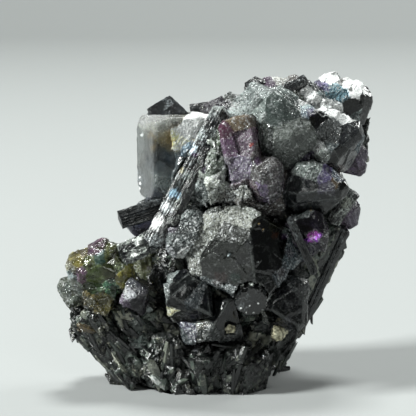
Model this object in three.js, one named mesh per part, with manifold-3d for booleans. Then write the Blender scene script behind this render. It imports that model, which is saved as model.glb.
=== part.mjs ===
// Fluorite with schorl: octahedral fluorite crystals grown over a leaning mass of black tourmaline
// needles. The specimen stands on the small flat spot where it broke from its pocket.
// Millimetres, +Z up, the best side faces -Y. The origin is the centre of the flat resting face.
import * as THREE from "three";
import { mergeVertices } from "three/addons/utils/BufferGeometryUtils.js";
import Module from "manifold-3d";

const wasm = await Module();
wasm.setup();

// Air left between neighbouring pieces, in millimetres.
const GAP = 0.3;
// Side of the rough block that every crystal is cleaved from.
const BLANK = 120;
// How far a crystal face may sit from its ideal distance, as a share of that distance.
const MISGROWTH = 0.09;

const UP = new THREE.Vector3(0, 0, 1);

// A repeatable stream of numbers from 0 to 1 for one seed.
function numbers(seed) {
  let state = seed * 2654435761;
  return () => {
    state = (state + 0x6d2b79f5) | 0;
    let mixed = Math.imul(state ^ (state >>> 15), 1 | state);
    mixed = (mixed + Math.imul(mixed ^ (mixed >>> 7), 61 | mixed)) ^ mixed;
    return ((mixed ^ (mixed >>> 14)) >>> 0) / 4294967296;
  };
}

// Every sign combination of a direction's non-zero parts, over its three cyclic orders.
function family(h, k, l) {
  const found = new Map();
  for (const [a, b, c] of [[h, k, l], [k, l, h], [l, h, k]])
    for (const sa of [1, -1])
      for (const sb of [1, -1])
        for (const sc of [1, -1]) {
          const n = new THREE.Vector3(a * sa, b * sb, c * sc).normalize();
          found.set(n.toArray().map((x) => (x + 0).toFixed(3)).join(), n);
        }
  return [...found.values()];
}

const FORMS = {
  octa: family(1, 1, 1),
  cube: family(1, 0, 0),
  dodeca: family(1, 1, 0),
};

// A body bounded by flat faces: [outward normal, distance from its centre] for each.
const facetedBody = (at, faces) => ({ at: new THREE.Vector3(...at), faces });

// A fluorite crystal. octa, cube and dodeca are the distances of its octahedral, cubic and
// dodecahedral faces. One face of the form named by `lead` looks along `face`, turned by `roll`
// degrees about it, and `stretch` draws the crystal out along `long`. Each of `bevels` is one more
// face, as its direction and its distance.
function fluorite(crystal) {
  const { at, face, lead = "octa", roll = 0, seed = 1, long = null, stretch = 1,
    bevels = [] } = crystal;
  const random = numbers(seed);
  const target = new THREE.Vector3(...face).normalize();
  const turn = new THREE.Quaternion()
    .setFromAxisAngle(target, THREE.MathUtils.degToRad(roll))
    .multiply(new THREE.Quaternion().setFromUnitVectors(FORMS[lead][0], target));
  const axis = long ? new THREE.Vector3(...long).normalize() : UP;
  const faces = [];
  for (const [form, normals] of Object.entries(FORMS)) {
    if (!crystal[form]) continue;
    for (const n of normals) {
      const normal = n.clone().applyQuaternion(turn);
      const along = Math.abs(normal.dot(axis));
      const drawn = 1 + (stretch - 1) * along * along;
      faces.push([normal, crystal[form] * drawn * (1 + MISGROWTH * (random() - 0.5))]);
    }
  }
  for (const [direction, distance] of bevels)
    faces.push([new THREE.Vector3(...direction).normalize(), distance]);
  return facetedBody(at, faces);
}

// A schorl prism: a bulging three-sided section of `sides` faces about the line from `from` to
// `to`, ended by `slope`-degree faces, three to an end, or by a near-flat break.
function prism({ from, to, radius, sides = 9, roll = 0, slope = 27, broken = false, seed = 1, flat = 1 }) {
  const random = numbers(seed);
  const start = new THREE.Vector3(...from);
  const end = new THREE.Vector3(...to);
  const axis = end.clone().sub(start);
  const half = axis.length() / 2;
  axis.normalize();
  const side = new THREE.Vector3(axis.y, axis.z, axis.x).cross(axis).normalize();
  const across = axis.clone().cross(side);
  const around = (angle) =>
    side.clone().multiplyScalar(Math.cos(angle)).addScaledVector(across, Math.sin(angle));
  const faces = [];
  for (let i = 0; i < sides; i++) {
    const angle = THREE.MathUtils.degToRad(roll + (360 * i) / sides);
    const bulge = (1 + 0.07 * Math.cos(3 * angle)) * (1 - (1 - flat) * Math.abs(Math.sin(angle)));
    faces.push([around(angle), radius * bulge * (1 + MISGROWTH * (random() - 0.5))]);
  }
  for (const way of [1, -1]) {
    const tips = broken ? 1 : 3;
    const tilt = THREE.MathUtils.degToRad(broken ? 25 * random() : slope);
    for (let i = 0; i < tips; i++) {
      const angle = THREE.MathUtils.degToRad(roll + 120 * i + 60 * way) + (broken ? 6.28 * random() : 0);
      const normal = axis.clone().multiplyScalar(way * Math.cos(tilt))
        .addScaledVector(around(angle), Math.sin(tilt));
      faces.push([normal, half * Math.cos(tilt)]);
    }
  }
  return facetedBody(start.add(end).multiplyScalar(0.5).toArray(), faces);
}

// A lump of massive mineral: flat breaks scattered evenly round an ellipsoid of those half-sizes.
function lump({ at, half, breaks = 22, seed = 1 }) {
  const random = numbers(seed);
  const [a, b, c] = half;
  const faces = [];
  for (let i = 0; i < breaks; i++) {
    const height = 1 - (2 * (i + 0.5)) / breaks;
    const turn = i * 2.39996 + random();
    const rim = Math.sqrt(1 - height * height);
    const n = new THREE.Vector3(rim * Math.cos(turn), rim * Math.sin(turn), height);
    const reach = Math.hypot(a * n.x, b * n.y, c * n.z);
    faces.push([n, reach * (0.86 + 0.14 * random())]);
  }
  return facetedBody(at, faces);
}

// A sheaf of `count` laths that run side by side from `from` to `to`, spread over `spread`
// millimetres, each a thin prism leaning a little out of line.
function sheaf({ from, to, spread, count, radius, seed, splay = 0.12, depth = 1 }) {
  const random = numbers(seed);
  const start = new THREE.Vector3(...from);
  const axis = new THREE.Vector3(...to).sub(start);
  const length = axis.length();
  const side = axis.clone().normalize().cross(new THREE.Vector3(0, 1, 0)).normalize();
  const across = side.clone().cross(axis).normalize();
  const laths = [];
  for (let i = 0; i < count; i++) {
    const turn = i * 2.39996;
    const reach = spread * Math.sqrt((i + 0.3) / count);
    const foot = start.clone()
      .addScaledVector(side, reach * Math.cos(turn))
      .addScaledVector(across, reach * depth * Math.sin(turn))
      .addScaledVector(axis, 0.25 * (random() - 0.5));
    const lean = new THREE.Vector3(random() - 0.5, random() - 0.5, random() - 0.5)
      .multiplyScalar(2 * splay * length);
    const tip = foot.clone().addScaledVector(axis, 0.75 + 0.3 * random()).add(lean);
    laths.push(prism({
      from: foot.toArray(),
      to: tip.toArray(),
      radius: radius * (0.65 + 0.7 * random()),
      sides: 5,
      roll: 360 * random(),
      broken: true,
      seed: seed * 100 + i,
      flat: 0.7,
    }));
  }
  return laths;
}

// A three.js geometry as a solid that can be joined and cut.
function solidOf(geometry) {
  const bare = geometry.clone();
  bare.deleteAttribute("normal");
  bare.deleteAttribute("uv");
  const merged = mergeVertices(bare);
  return new wasm.Manifold(new wasm.Mesh({
    numProp: 3,
    vertProperties: merged.attributes.position.array,
    triVerts: new Uint32Array(merged.index.array),
  }));
}

// The blank cleaved along each of a body's faces, all moved out by `grow` millimetres.
function cleaved({ at, faces }, grow) {
  let solid = solidOf(new THREE.BoxGeometry(BLANK, BLANK, BLANK).translate(...at.toArray()));
  for (const [normal, distance] of faces)
    solid = solid.trimByPlane(normal.clone().negate().toArray(), -(normal.dot(at) + distance + grow));
  return solid;
}

// Several bodies grown together into one solid.
const grownTogether = (bodies, grow) =>
  bodies.map((body) => cleaved(body, grow)).reduce((all, one) => all.add(one));

// Looks of the minerals, as three.js materials.
const clearStone = (color, roughness = 0.25) => new THREE.MeshPhysicalMaterial({
  color, roughness, metalness: 0, transmission: 0.7, ior: 1.434,
});
const LOOKS = {
  schorl: new THREE.MeshStandardMaterial({ color: 0x15171a, roughness: 0.35, metalness: 0 }),
  schorl_mass: new THREE.MeshStandardMaterial({ color: 0x24272a, roughness: 0.6, metalness: 0 }),
  smoky: clearStone(0x5c6068),
  frosted: clearStone(0x8b9093, 0.5),
  violet: clearStone(0x6a4a72),
  green: clearStone(0x6f7748),
  clear: clearStone(0xa9aca2, 0.15),
  feldspar: new THREE.MeshStandardMaterial({ color: 0xb9b49a, roughness: 0.7, metalness: 0 }),
};

// Free schorl crystals: each is one prism that stands clear of the mass.
const SCHORL = {
  schorl_long_prism: { from: [-9.2, -11.6, 27.4], to: [4.4, -6.2, 53], radius: 1.85, roll: 20,
    slope: 35, seed: 11 },
  schorl_long_prism_twin: { from: [-5.6, -12.4, 31.6], to: [2, -9.4, 46], radius: 1.15,
    roll: 50, seed: 12 },
  schorl_left_prism: { from: [-15.2, -2.4, 31.2], to: [-2.4, 0, 35], radius: 1.75, roll: 10,
    slope: 10, seed: 13 },
  schorl_left_peak: { from: [-6, 9.4, 40], to: [-5.8, 9, 53.7], radius: 4.2, sides: 6, roll: 75,
    slope: 48, seed: 14 },
  schorl_top_lath: { from: [13.6, -4.4, 54.6], to: [19.6, -2.6, 57.6], radius: 0.9,
    broken: true, seed: 15 },
  schorl_top_stub: { from: [9.8, 5, 47], to: [10.4, 5.6, 57.6], radius: 1.9, slope: 38, seed: 16 },
  schorl_back_top_lath: { from: [-1.6, 12.6, 50.6], to: [5.6, 11, 51.8], radius: 0.95,
    broken: true, seed: 24 },
  schorl_cleft_prism: { from: [16.2, -14, 33.6], to: [21, -13, 22.8], radius: 0.75, seed: 17 },
  schorl_front_stub: { from: [9, -12, 22], to: [9.4, -20.6, 18.8], radius: 2.7, roll: 33,
    slope: 12, seed: 18 },
  schorl_left_knot: { from: [-8.4, -8, 28.2], to: [-14.8, -10, 25.6], radius: 2.1, roll: 15,
    slope: 18, seed: 19 },
  schorl_right_edge_lath: { from: [27.1, -1.6, 29.5], to: [19.8, -2, 13.2], radius: 1.5,
    flat: 0.6, broken: true, seed: 20 },
  schorl_right_small: { from: [24.6, -3, 30.6], to: [28.8, -3.6, 37], radius: 1.3, slope: 20,
    seed: 21 },
  schorl_back_prism: { from: [2, 13, 12], to: [11.5, 15.6, 45.5], radius: 2.3, roll: 40,
    slope: 30, seed: 22 },
  schorl_back_prism_small: { from: [-4.5, 13, 22], to: [2.5, 16.5, 42], radius: 1.5, roll: 5,
    slope: 30, seed: 23 },
};

// Fluorite pieces: crystals that overlap are one solid. The lists run from the front to the back.
const FLUORITE = {
  fluorite_main: ["smoky", [
    { at: [8, -10.5, 26], face: [0.16, -0.98, 0.1], lead: "dodeca", roll: 86, octa: 7.8,
      cube: 10.7, dodeca: 9.1, seed: 1,
      bevels: [[[-0.72, -0.55, 0.42], 8.3], [[-0.12, -0.62, 0.78], 9.7]] },
    { at: [4.2, -9.8, 29.6], face: [0.16, -0.98, 0.1], lead: "dodeca", roll: 86, octa: 5.2,
      cube: 6.9, dodeca: 5.7, seed: 44,
      bevels: [[[-0.72, -0.55, 0.42], 5.5], [[-0.12, -0.62, 0.78], 5.9]] },
  ]],
  fluorite_violet_pair: ["violet", [
    { at: [7.9, -11, 45], face: [-0.2, -0.97, 0.1], lead: "cube", roll: 5, cube: 3.1, octa: 4.5,
      dodeca: 3.95, long: [-0.1, 0, 1], stretch: 2.05, seed: 2 },
    { at: [12.2, -13, 40], face: [0.2, -0.95, 0.1], roll: 20, octa: 3, cube: 3.4, dodeca: 3.1,
      long: [0, 0, 1], stretch: 1.45, seed: 3 },
  ]],
  fluorite_frosted_ridge: ["frosted", [
    { at: [2.6, -6.8, 41.2], face: [-0.45, -0.8, 0.4], roll: 62, octa: 5.2, cube: 6.9,
      dodeca: 5.9, long: [0.49, 0, 0.87], stretch: 1.5, seed: 4 },
    { at: [9.5, -8.5, 37.8], face: [0.1, -0.8, -0.6], roll: 10, octa: 4.6, cube: 5.6, dodeca: 5,
      long: [1, 0, 0.1], stretch: 1.4, seed: 5 },
  ]],
  fluorite_frosted_small: ["frosted", [
    { at: [-2.6, -10.2, 30.4], face: [-0.2, -0.95, 0.2], roll: 40, octa: 3.4, cube: 4.3,
      dodeca: 3.8, long: [0.2, 0, 1], stretch: 1.35, seed: 6 },
  ]],
  fluorite_upper_gem: ["smoky", [
    { at: [15.4, -6.2, 48.8], face: [-0.1, -0.8, 0.6], roll: 22, octa: 6, cube: 7.4,
      dodeca: 6.6, long: [1, 0, 0], stretch: 1.16, seed: 7 },
    { at: [10.4, -2.5, 51.4], face: [-0.55, -0.7, 0.45], roll: 0, octa: 3.9, cube: 4.9,
      dodeca: 4.3, long: [0.8, 0, 0.6], stretch: 1.6, seed: 8 },
    { at: [24, -4.8, 46.6], face: [0.25, -0.86, 0.42], roll: 75, octa: 5.1, cube: 6.2,
      dodeca: 5.6, seed: 9 },
  ]],
  fluorite_crown: ["smoky", [
    { at: [26.2, 3.2, 52.6], face: [-0.1, -0.5, 0.86], roll: 10, octa: 4.8, cube: 5.5,
      dodeca: 5.1, long: [1, 0, 0], stretch: 1.2, seed: 10 },
    { at: [21.6, -0.9, 53.5], face: [-0.2, -0.75, 0.6], roll: 5, octa: 2.2, cube: 2.7,
      dodeca: 2.5, long: [0.75, 0, -0.66], stretch: 1.8, seed: 11 },
  ]],
  fluorite_right_gem: ["smoky", [
    { at: [20.8, -8.4, 38], face: [0.1, -0.93, 0.35], roll: 35, octa: 4.3, cube: 5.3,
      dodeca: 4.7, long: [1, 0, 0.15], stretch: 1.35, seed: 24 },
  ]],
  fluorite_violet_flash: ["violet", [
    { at: [19.6, -9, 29.8], face: [0.05, -0.9, 0.42], roll: 5, octa: 3.8, cube: 4.5,
      dodeca: 4.1, long: [0, 0, 1], stretch: 1.2, seed: 25 },
  ]],
  fluorite_clear_left: ["clear", [
    { at: [-4.4, 4.6, 42.2], face: [0.3, -0.95, 0.02], lead: "cube", roll: 0, cube: 6.5,
      octa: 9.6, dodeca: 8.7, long: [0, 0, 1], stretch: 1.2, seed: 26 },
    { at: [-9.6, 3, 30.2], face: [-0.4, -0.9, 0.2], lead: "cube", roll: 30, cube: 3.2,
      octa: 4.6, seed: 27 },
  ]],
  fluorite_green_trio: ["green", [
    { at: [-18.4, -6.6, 22.6], face: [0.35, -0.75, 0.5], roll: 15, octa: 4.7, cube: 5.6,
      dodeca: 5, long: [1, 0, 0], stretch: 1.3, seed: 28 },
    { at: [-18.4, -9, 17.4], face: [0.3, -0.9, 0.2], roll: 0, octa: 2.6, cube: 4.2, seed: 29 },
    { at: [-22.8, -4.4, 18], face: [-0.5, -0.8, 0.3], roll: 40, octa: 3, cube: 3.7, dodeca: 3.3,
      seed: 30 },
  ]],
  fluorite_left_violet: ["violet", [
    { at: [-12, -10, 18.4], face: [-0.2, -0.8, 0.6], roll: 20, octa: 2.6, cube: 3.9, dodeca: 3,
      seed: 31 },
  ]],
  fluorite_front_octahedron: ["smoky", [
    { at: [-2, -11.6, 18.6], face: [0.3, -0.9, 0.3], roll: 20, octa: 4.2, cube: 6.6,
      dodeca: 4.9, seed: 32 },
  ]],
  fluorite_low_blue: ["smoky", [
    { at: [1.6, -10.2, 13.4], face: [-0.3, -0.8, 0.5], roll: 50, octa: 4, cube: 6.2,
      dodeca: 4.8, long: [1, 0, 0.3], stretch: 1.35, seed: 33 },
  ]],
  fluorite_low_right: ["smoky", [
    { at: [15.6, -8, 16.6], face: [0.3, -0.92, 0.1], roll: 25, octa: 4.4, cube: 5.8, dodeca: 5,
      seed: 34 },
  ]],
  fluorite_right_bead: ["violet", [
    { at: [28.8, 0.8, 42.4], face: [0.8, -0.5, 0.2], roll: 10, octa: 2.4, cube: 2.9,
      dodeca: 2.6, long: [0, 0, 1], stretch: 1.3, seed: 35 },
  ]],
  fluorite_right_bead_low: ["violet", [
    { at: [27.6, 0.4, 32.2], face: [0.8, -0.5, 0], roll: 40, octa: 2.2, cube: 2.6, dodeca: 2.4,
      long: [0, 0, 1], stretch: 1.3, seed: 36 },
  ]],
  fluorite_top_mauve: ["violet", [
    { at: [15.4, 6.2, 53.4], face: [-0.2, -0.3, 0.93], roll: 25, octa: 3.6, cube: 4.4,
      dodeca: 3.9, long: [1, 0, 0], stretch: 1.3, seed: 37 },
  ]],
  fluorite_top_left_mauve: ["violet", [
    { at: [5.4, 9, 50.2], face: [-0.5, -0.4, 0.76], roll: 40, octa: 3.2, cube: 3.9, dodeca: 3.5,
      long: [1, 0, 0.1], stretch: 1.5, seed: 38 },
  ]],
  fluorite_back_gem: ["smoky", [
    { at: [17.6, 11.4, 41.6], face: [0.2, 0.95, 0.2], roll: 30, octa: 6.1, cube: 7.6,
      dodeca: 6.8, seed: 39 },
    { at: [24, 9, 34], face: [0.6, 0.75, 0], roll: 5, octa: 4.3, cube: 5.4, dodeca: 4.8, seed: 40 },
  ]],
  fluorite_back_violet: ["violet", [
    { at: [13.6, 13.6, 24], face: [0.1, 0.97, 0.2], roll: 15, octa: 5, cube: 6.4, dodeca: 5.6,
      seed: 41 },
  ]],
  fluorite_back_green: ["green", [
    { at: [-9.6, 10.6, 21.4], face: [-0.5, 0.85, 0.2], roll: 55, octa: 5, cube: 6.2,
      dodeca: 5.5, seed: 42 },
    { at: [-3.4, 13.4, 14.4], face: [-0.1, 0.97, 0], roll: 10, octa: 3.4, cube: 4.3,
      dodeca: 3.8, seed: 43 },
  ]],
};

// Sheaves of schorl laths, each grown together into one solid.
const SHEAVES = {
  sheaf_low_left: { from: [-11, -4, 1.6], to: [-21.6, -4.6, 14.6], spread: 4.2, count: 12,
    radius: 1.5, seed: 51 },
  sheaf_low_front: { from: [1.6, -7, 0.4], to: [3.2, -10.2, 9.4], spread: 9.6, count: 8,
    radius: 2.9, seed: 52, splay: 0.1, depth: 0.22 },
  sheaf_low_right: { from: [11, -2, 4.4], to: [25.1, 0.3, 29.6], spread: 4, count: 7, radius: 2,
    seed: 53, splay: 0.06 },
  sheaf_top_right: { from: [29.4, 4, 43], to: [29.8, 4.6, 54.6], spread: 1.5, count: 5,
    radius: 1.2, seed: 54, splay: 0.05 },
  sheaf_back: { from: [1, 11.4, 6], to: [14.6, 12.4, 47], spread: 6.4, count: 10, radius: 2.2,
    seed: 55, splay: 0.05, depth: 0.45 },
  sheaf_back_left: { from: [-8.4, 7.4, 1.6], to: [-11.4, 8, 20.4], spread: 3.8, count: 9,
    radius: 1.8, seed: 56, splay: 0.07, depth: 0.6 },
};

// The massive schorl that everything grew on.
const MASS = [
  { at: [-1, 0.5, 4], half: [15.6, 12, 7.4], seed: 61 },
  { at: [-12.6, 0, 12.4], half: [10.6, 9.4, 7.6], seed: 62 },
  { at: [5.6, 1.6, 20], half: [14.6, 11.6, 13], seed: 63, breaks: 26 },
  { at: [13.6, 2.4, 36.6], half: [13, 10, 12.6], seed: 64, breaks: 26 },
  { at: [18.4, 2.8, 48], half: [11, 7.4, 7], seed: 65 },
  { at: [1, 3, 37], half: [5.6, 7, 11], seed: 66 },
];

// Chips of pale feldspar caught between the crystals.
const CHIPS = {
  feldspar_chip_right: { at: [14.4, -8.9, 11.1], half: [1.2, 1.7, 1.4], breaks: 9, seed: 71 },
  feldspar_chip_front: { at: [5.7, -12.4, 12.6], half: [0.8, 0.9, 0.85], breaks: 8, seed: 72 },
};

// Every piece as [name, look, bodies], the ones that cut their neighbours first.
const PIECES = [
  ...Object.entries(SCHORL).map(([name, p]) => [name, "schorl", [prism(p)]]),
  ...Object.entries(CHIPS).map(([name, c]) => [name, "feldspar", [lump(c)]]),
  ...Object.entries(FLUORITE).map(([name, [look, list]]) => [name, look, list.map(fluorite)]),
  ...Object.entries(SHEAVES).map(([name, s]) => [name, "schorl", sheaf(s)]),
  ["schorl_mass", "schorl_mass", MASS.map(lump)],
];

// The largest single body of a solid, without crumbs that a cut has left loose.
const largest = (solid) => solid.decompose().reduce((a, b) => (b.volume() > a.volume() ? b : a));

// A solid as a named mesh that stands at its own centre.
function meshOf(name, look, solid) {
  const { numProp, vertProperties, triVerts } = solid.getMesh();
  const position = new Float32Array((vertProperties.length / numProp) * 3);
  for (let i = 0; i < position.length / 3; i++)
    position.set(vertProperties.subarray(i * numProp, i * numProp + 3), i * 3);
  const geometry = new THREE.BufferGeometry()
    .setAttribute("position", new THREE.BufferAttribute(position, 3))
    .setIndex(new THREE.BufferAttribute(triVerts, 1));
  geometry.computeBoundingBox();
  const centre = geometry.boundingBox.getCenter(new THREE.Vector3()).round();
  geometry.translate(...centre.clone().negate().toArray()).computeVertexNormals();
  const mesh = new THREE.Mesh(geometry, LOOKS[look].clone());
  mesh.name = name;
  mesh.position.copy(centre);
  return mesh;
}

const specimen = new THREE.Group();
specimen.name = "fluorite_with_schorl";
let taken = null;
for (const [name, look, bodies] of PIECES) {
  let solid = grownTogether(bodies, 0).trimByPlane(UP.toArray(), 0);
  if (taken) solid = solid.subtract(taken);
  const grown = grownTogether(bodies, GAP);
  taken = taken ? taken.add(grown) : grown;
  specimen.add(meshOf(name, look, largest(solid)));
}

export default specimen;
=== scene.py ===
# Fluorite with schorl: how the crystals look. Metres, +Z up, the best side faces -Y.
import math

import bmesh
import bpy
import numpy as np
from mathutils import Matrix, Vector


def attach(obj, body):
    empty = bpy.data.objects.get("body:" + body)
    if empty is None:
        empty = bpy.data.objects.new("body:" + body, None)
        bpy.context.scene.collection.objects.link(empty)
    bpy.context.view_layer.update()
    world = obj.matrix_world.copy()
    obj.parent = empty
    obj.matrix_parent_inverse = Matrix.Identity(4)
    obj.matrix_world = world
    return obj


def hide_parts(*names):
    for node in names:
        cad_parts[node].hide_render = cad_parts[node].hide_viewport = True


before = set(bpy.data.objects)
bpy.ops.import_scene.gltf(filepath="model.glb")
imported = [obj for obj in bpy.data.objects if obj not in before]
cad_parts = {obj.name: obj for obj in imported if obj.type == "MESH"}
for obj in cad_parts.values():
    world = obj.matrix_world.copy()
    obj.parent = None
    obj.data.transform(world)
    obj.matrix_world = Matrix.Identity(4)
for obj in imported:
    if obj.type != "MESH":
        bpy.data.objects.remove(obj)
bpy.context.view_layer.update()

MM = 0.001
BODY = "root"
scene = bpy.context.scene

# Height of the camera above the horizon, seen from the specimen.
RISE = math.radians(8)
# Spacing of the net that each crystal's surface is worked out on.
FINE_NET = 0.21 * MM
COARSE_NET = 0.34 * MM
# Edges that turn more than this stay crystal edges; flatter ones are inside one face.
EDGE_ANGLE = math.radians(6)
# Points handled at a time, so that the arrays stay small.
BATCH = 20000
# Width of the worn edge of a fluorite crystal, and how deep it sinks.
WORN = 0.28 * MM
WORN_DEPTH = 0.08 * MM
# Shards bedded in the mass.
MASS_SHARDS = 3600
# Index of each material on a fluorite crystal.
PALE_FACE = 1
WHITE_FACE = 2


# Camera

def place_camera():
    """The photograph's view: level with the crystals, eight degrees above the horizon, from a long lens."""
    distance = 0.4
    pixel = 0.19 * MM
    frame_pixels = 416
    target = Vector((1.52 * MM, 0, 0)) + Vector((0, math.sin(RISE), math.cos(RISE))) * (32.87 * MM)
    back = Vector((0, -math.cos(RISE), math.sin(RISE)))
    lens = bpy.data.cameras.new("camera")
    lens.sensor_width = 36
    lens.lens = 36 * distance / (frame_pixels * pixel)
    lens.clip_start = 0.01
    camera = bpy.data.objects.new("camera", lens)
    camera.location = target + back * distance
    camera.rotation_mode = "QUATERNION"
    camera.rotation_quaternion = (-back).to_track_quat("-Z", "Y")
    scene.collection.objects.link(camera)
    scene.camera = camera


# Numbers and noise

def linear(code):
    """The linear colour of an sRGB hex value."""
    parts = [int(code[i:i + 2], 16) / 255 for i in (1, 3, 5)]
    return [p / 12.92 if p <= 0.04045 else ((p + 0.055) / 1.055) ** 2.4 for p in parts] + [1]


def waves(points, size, seed, count=36):
    """Smooth random relief from about -1 to 1: the mean of many plane cosine waves of random heading and
    phase, whose lengths lie between 0.7 and 1.8 times `size`."""
    rng = np.random.default_rng(seed)
    heading = rng.normal(size=(count, 3))
    heading /= np.linalg.norm(heading, axis=1, keepdims=True)
    length = size * rng.uniform(0.7, 1.8, count)
    phase = rng.uniform(0, 2 * np.pi, count)
    angle = points @ (heading * (2 * np.pi / length)[:, None]).T + phase
    return np.cos(angle).sum(axis=1) / math.sqrt(count) * 0.8


# Meshes

def new_piece(name, mesh, replaced=(), smooth=True):
    """An object of that mesh that rides on the part; the parts that it replaces are hidden."""
    piece = bpy.data.objects.new(name, mesh)
    scene.collection.objects.link(piece)
    mesh.polygons.foreach_set("use_smooth", np.full(len(mesh.polygons), smooth))
    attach(piece, BODY)
    if replaced:
        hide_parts(*replaced)
    return piece


def mesh_of(name, points, faces):
    """A mesh of those points and of faces that all have the same number of corners."""
    mesh = bpy.data.meshes.new(name)
    corners = faces.shape[1]
    mesh.vertices.add(len(points))
    mesh.vertices.foreach_set("co", points.astype(np.float32).ravel())
    mesh.loops.add(faces.size)
    mesh.loops.foreach_set("vertex_index", faces.astype(np.int32).ravel())
    mesh.polygons.add(len(faces))
    mesh.polygons.foreach_set("loop_start", np.arange(0, faces.size, corners, dtype=np.int32))
    mesh.update(calc_edges=True)
    return mesh


def merged_copy(node):
    """The node's mesh with its loose triangles joined at their corners, and the two ends of each of its
    outward edges."""
    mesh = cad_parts[node].data.copy()
    sewn = bmesh.new()
    sewn.from_mesh(mesh)
    bmesh.ops.remove_doubles(sewn, verts=sewn.verts, dist=1e-6)
    sewn.to_mesh(mesh)
    ends = [
        [edge.verts[0].co[:], edge.verts[1].co[:]]
        for edge in sewn.edges
        if len(edge.link_faces) == 2 and edge.calc_face_angle_signed(0) > EDGE_ANGLE
    ]
    sewn.free()
    mesh.materials.clear()
    return mesh, np.array(ends, dtype=np.float64)


def net_of(node, spacing):
    """The node's surface on an even net: a voxel mesh of the solid, laid back on its flat faces."""
    solid, ends = merged_copy(node)
    target = bpy.data.objects.new("target", solid)
    net = bpy.data.objects.new("net", solid.copy())
    scene.collection.objects.link(target)
    scene.collection.objects.link(net)
    remesh = net.modifiers.new("net", "REMESH")
    remesh.mode = "VOXEL"
    remesh.voxel_size = spacing
    wrap = net.modifiers.new("lay on", "SHRINKWRAP")
    wrap.target = target
    wrap.wrap_method = "NEAREST_SURFACEPOINT"
    shown = net.evaluated_get(bpy.context.evaluated_depsgraph_get())
    mesh = bpy.data.meshes.new_from_object(shown)
    bpy.data.objects.remove(net)
    bpy.data.objects.remove(target)
    mesh.materials.clear()
    return mesh, solid, ends


def planes_of(mesh):
    """The planes of a mesh's flat faces: each face's normal and distance from the origin, once a plane."""
    count = len(mesh.polygons)
    normals = np.empty(count * 3, dtype=np.float32)
    centres = np.empty(count * 3, dtype=np.float32)
    mesh.polygons.foreach_get("normal", normals)
    mesh.polygons.foreach_get("center", centres)
    normals = normals.reshape(-1, 3).astype(np.float64)
    distance = (normals * centres.reshape(-1, 3)).sum(axis=1)
    keys = np.round(np.c_[normals, distance / MM * 0.2], 2)
    first = np.unique(keys, axis=0, return_index=True)[1]
    return normals[first], distance[first]


def face_of(solid, points, normals):
    """The number of the flat face that each point lies on, the nearest of the solid's planes that look the
    point's way, and every face's normal."""
    ways, distance = planes_of(solid)
    parts = []
    for part in np.array_split(np.arange(len(points)), len(points) // BATCH + 1):
        gap = np.abs(points[part] @ ways.T - distance)
        gap[normals[part] @ ways.T < 0.5] = 1
        parts.append(gap.argmin(axis=1))
    return np.concatenate(parts), ways


def keep_values(mesh, name, values):
    """Stores one number for each point, for the material to read by that name."""
    kept = mesh.attributes.new(name, "FLOAT", "POINT")
    kept.data.foreach_set("value", values.astype(np.float32))


def move_points(mesh, points):
    """Puts a mesh's points there, none of them below the ground."""
    points = points.copy()
    points[:, 2] = np.maximum(points[:, 2], 0)
    mesh.vertices.foreach_set("co", points.astype(np.float32).ravel())
    mesh.update()


def corners_first(mesh):
    """The first corner of each face."""
    start = np.empty(len(mesh.polygons), dtype=np.int32)
    mesh.polygons.foreach_get("loop_start", start)
    corner = np.empty(len(mesh.loops), dtype=np.int32)
    mesh.loops.foreach_get("vertex_index", corner)
    return corner[start]


def points_of(mesh):
    points = np.empty(len(mesh.vertices) * 3)
    mesh.vertices.foreach_get("co", points)
    return points.reshape(-1, 3)


def normals_of(mesh):
    normals = np.empty(len(mesh.vertices) * 3, dtype=np.float32)
    mesh.vertex_normals.foreach_get("vector", normals)
    return normals.reshape(-1, 3).astype(np.float64)


def edge_distance(points, ends, reach):
    """How far each point is from the nearest crystal edge, up to `reach`: the distance to the nearest
    point of every edge's straight line, between its ends."""
    nearest = np.full(len(points), reach)
    start = ends[:, 0]
    along = ends[:, 1] - start
    squared = np.maximum((along ** 2).sum(axis=1), 1e-18)
    for first in range(0, len(ends), 24):
        a = start[first:first + 24]
        d = along[first:first + 24]
        offset = points[:, None, :] - a[None]
        share = np.clip((offset * d[None]).sum(axis=2) / squared[first:first + 24], 0, 1)
        gap = np.linalg.norm(offset - share[..., None] * d[None], axis=2).min(axis=1)
        nearest = np.minimum(nearest, gap)
    return nearest


def blocks(points, size, lean, stand, seed):
    """Parallel growth in blocks: scattered centres share out the points, each point going with its nearest
    centre, and each block's surface leans and stands off by amounts of its own."""
    rng = np.random.default_rng(seed)
    spread = points.max(axis=0) - points.min(axis=0)
    count = int(np.clip(2.2 * (spread ** 2).sum() / size ** 2, 6, 420))
    centres = points[rng.integers(0, len(points), count)]
    nearest = np.concatenate([
        (part @ centres.T * -2 + (centres ** 2).sum(axis=1)).argmin(axis=1)
        for part in np.array_split(points, len(points) // BATCH + 1)])
    tilt = rng.normal(scale=lean, size=(count, 3))
    offset = rng.normal(scale=stand, size=count)
    height = ((points - centres[nearest]) * tilt[nearest]).sum(axis=1) + offset[nearest]
    return height, rng.random(count)[nearest]


# Fluorite

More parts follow.
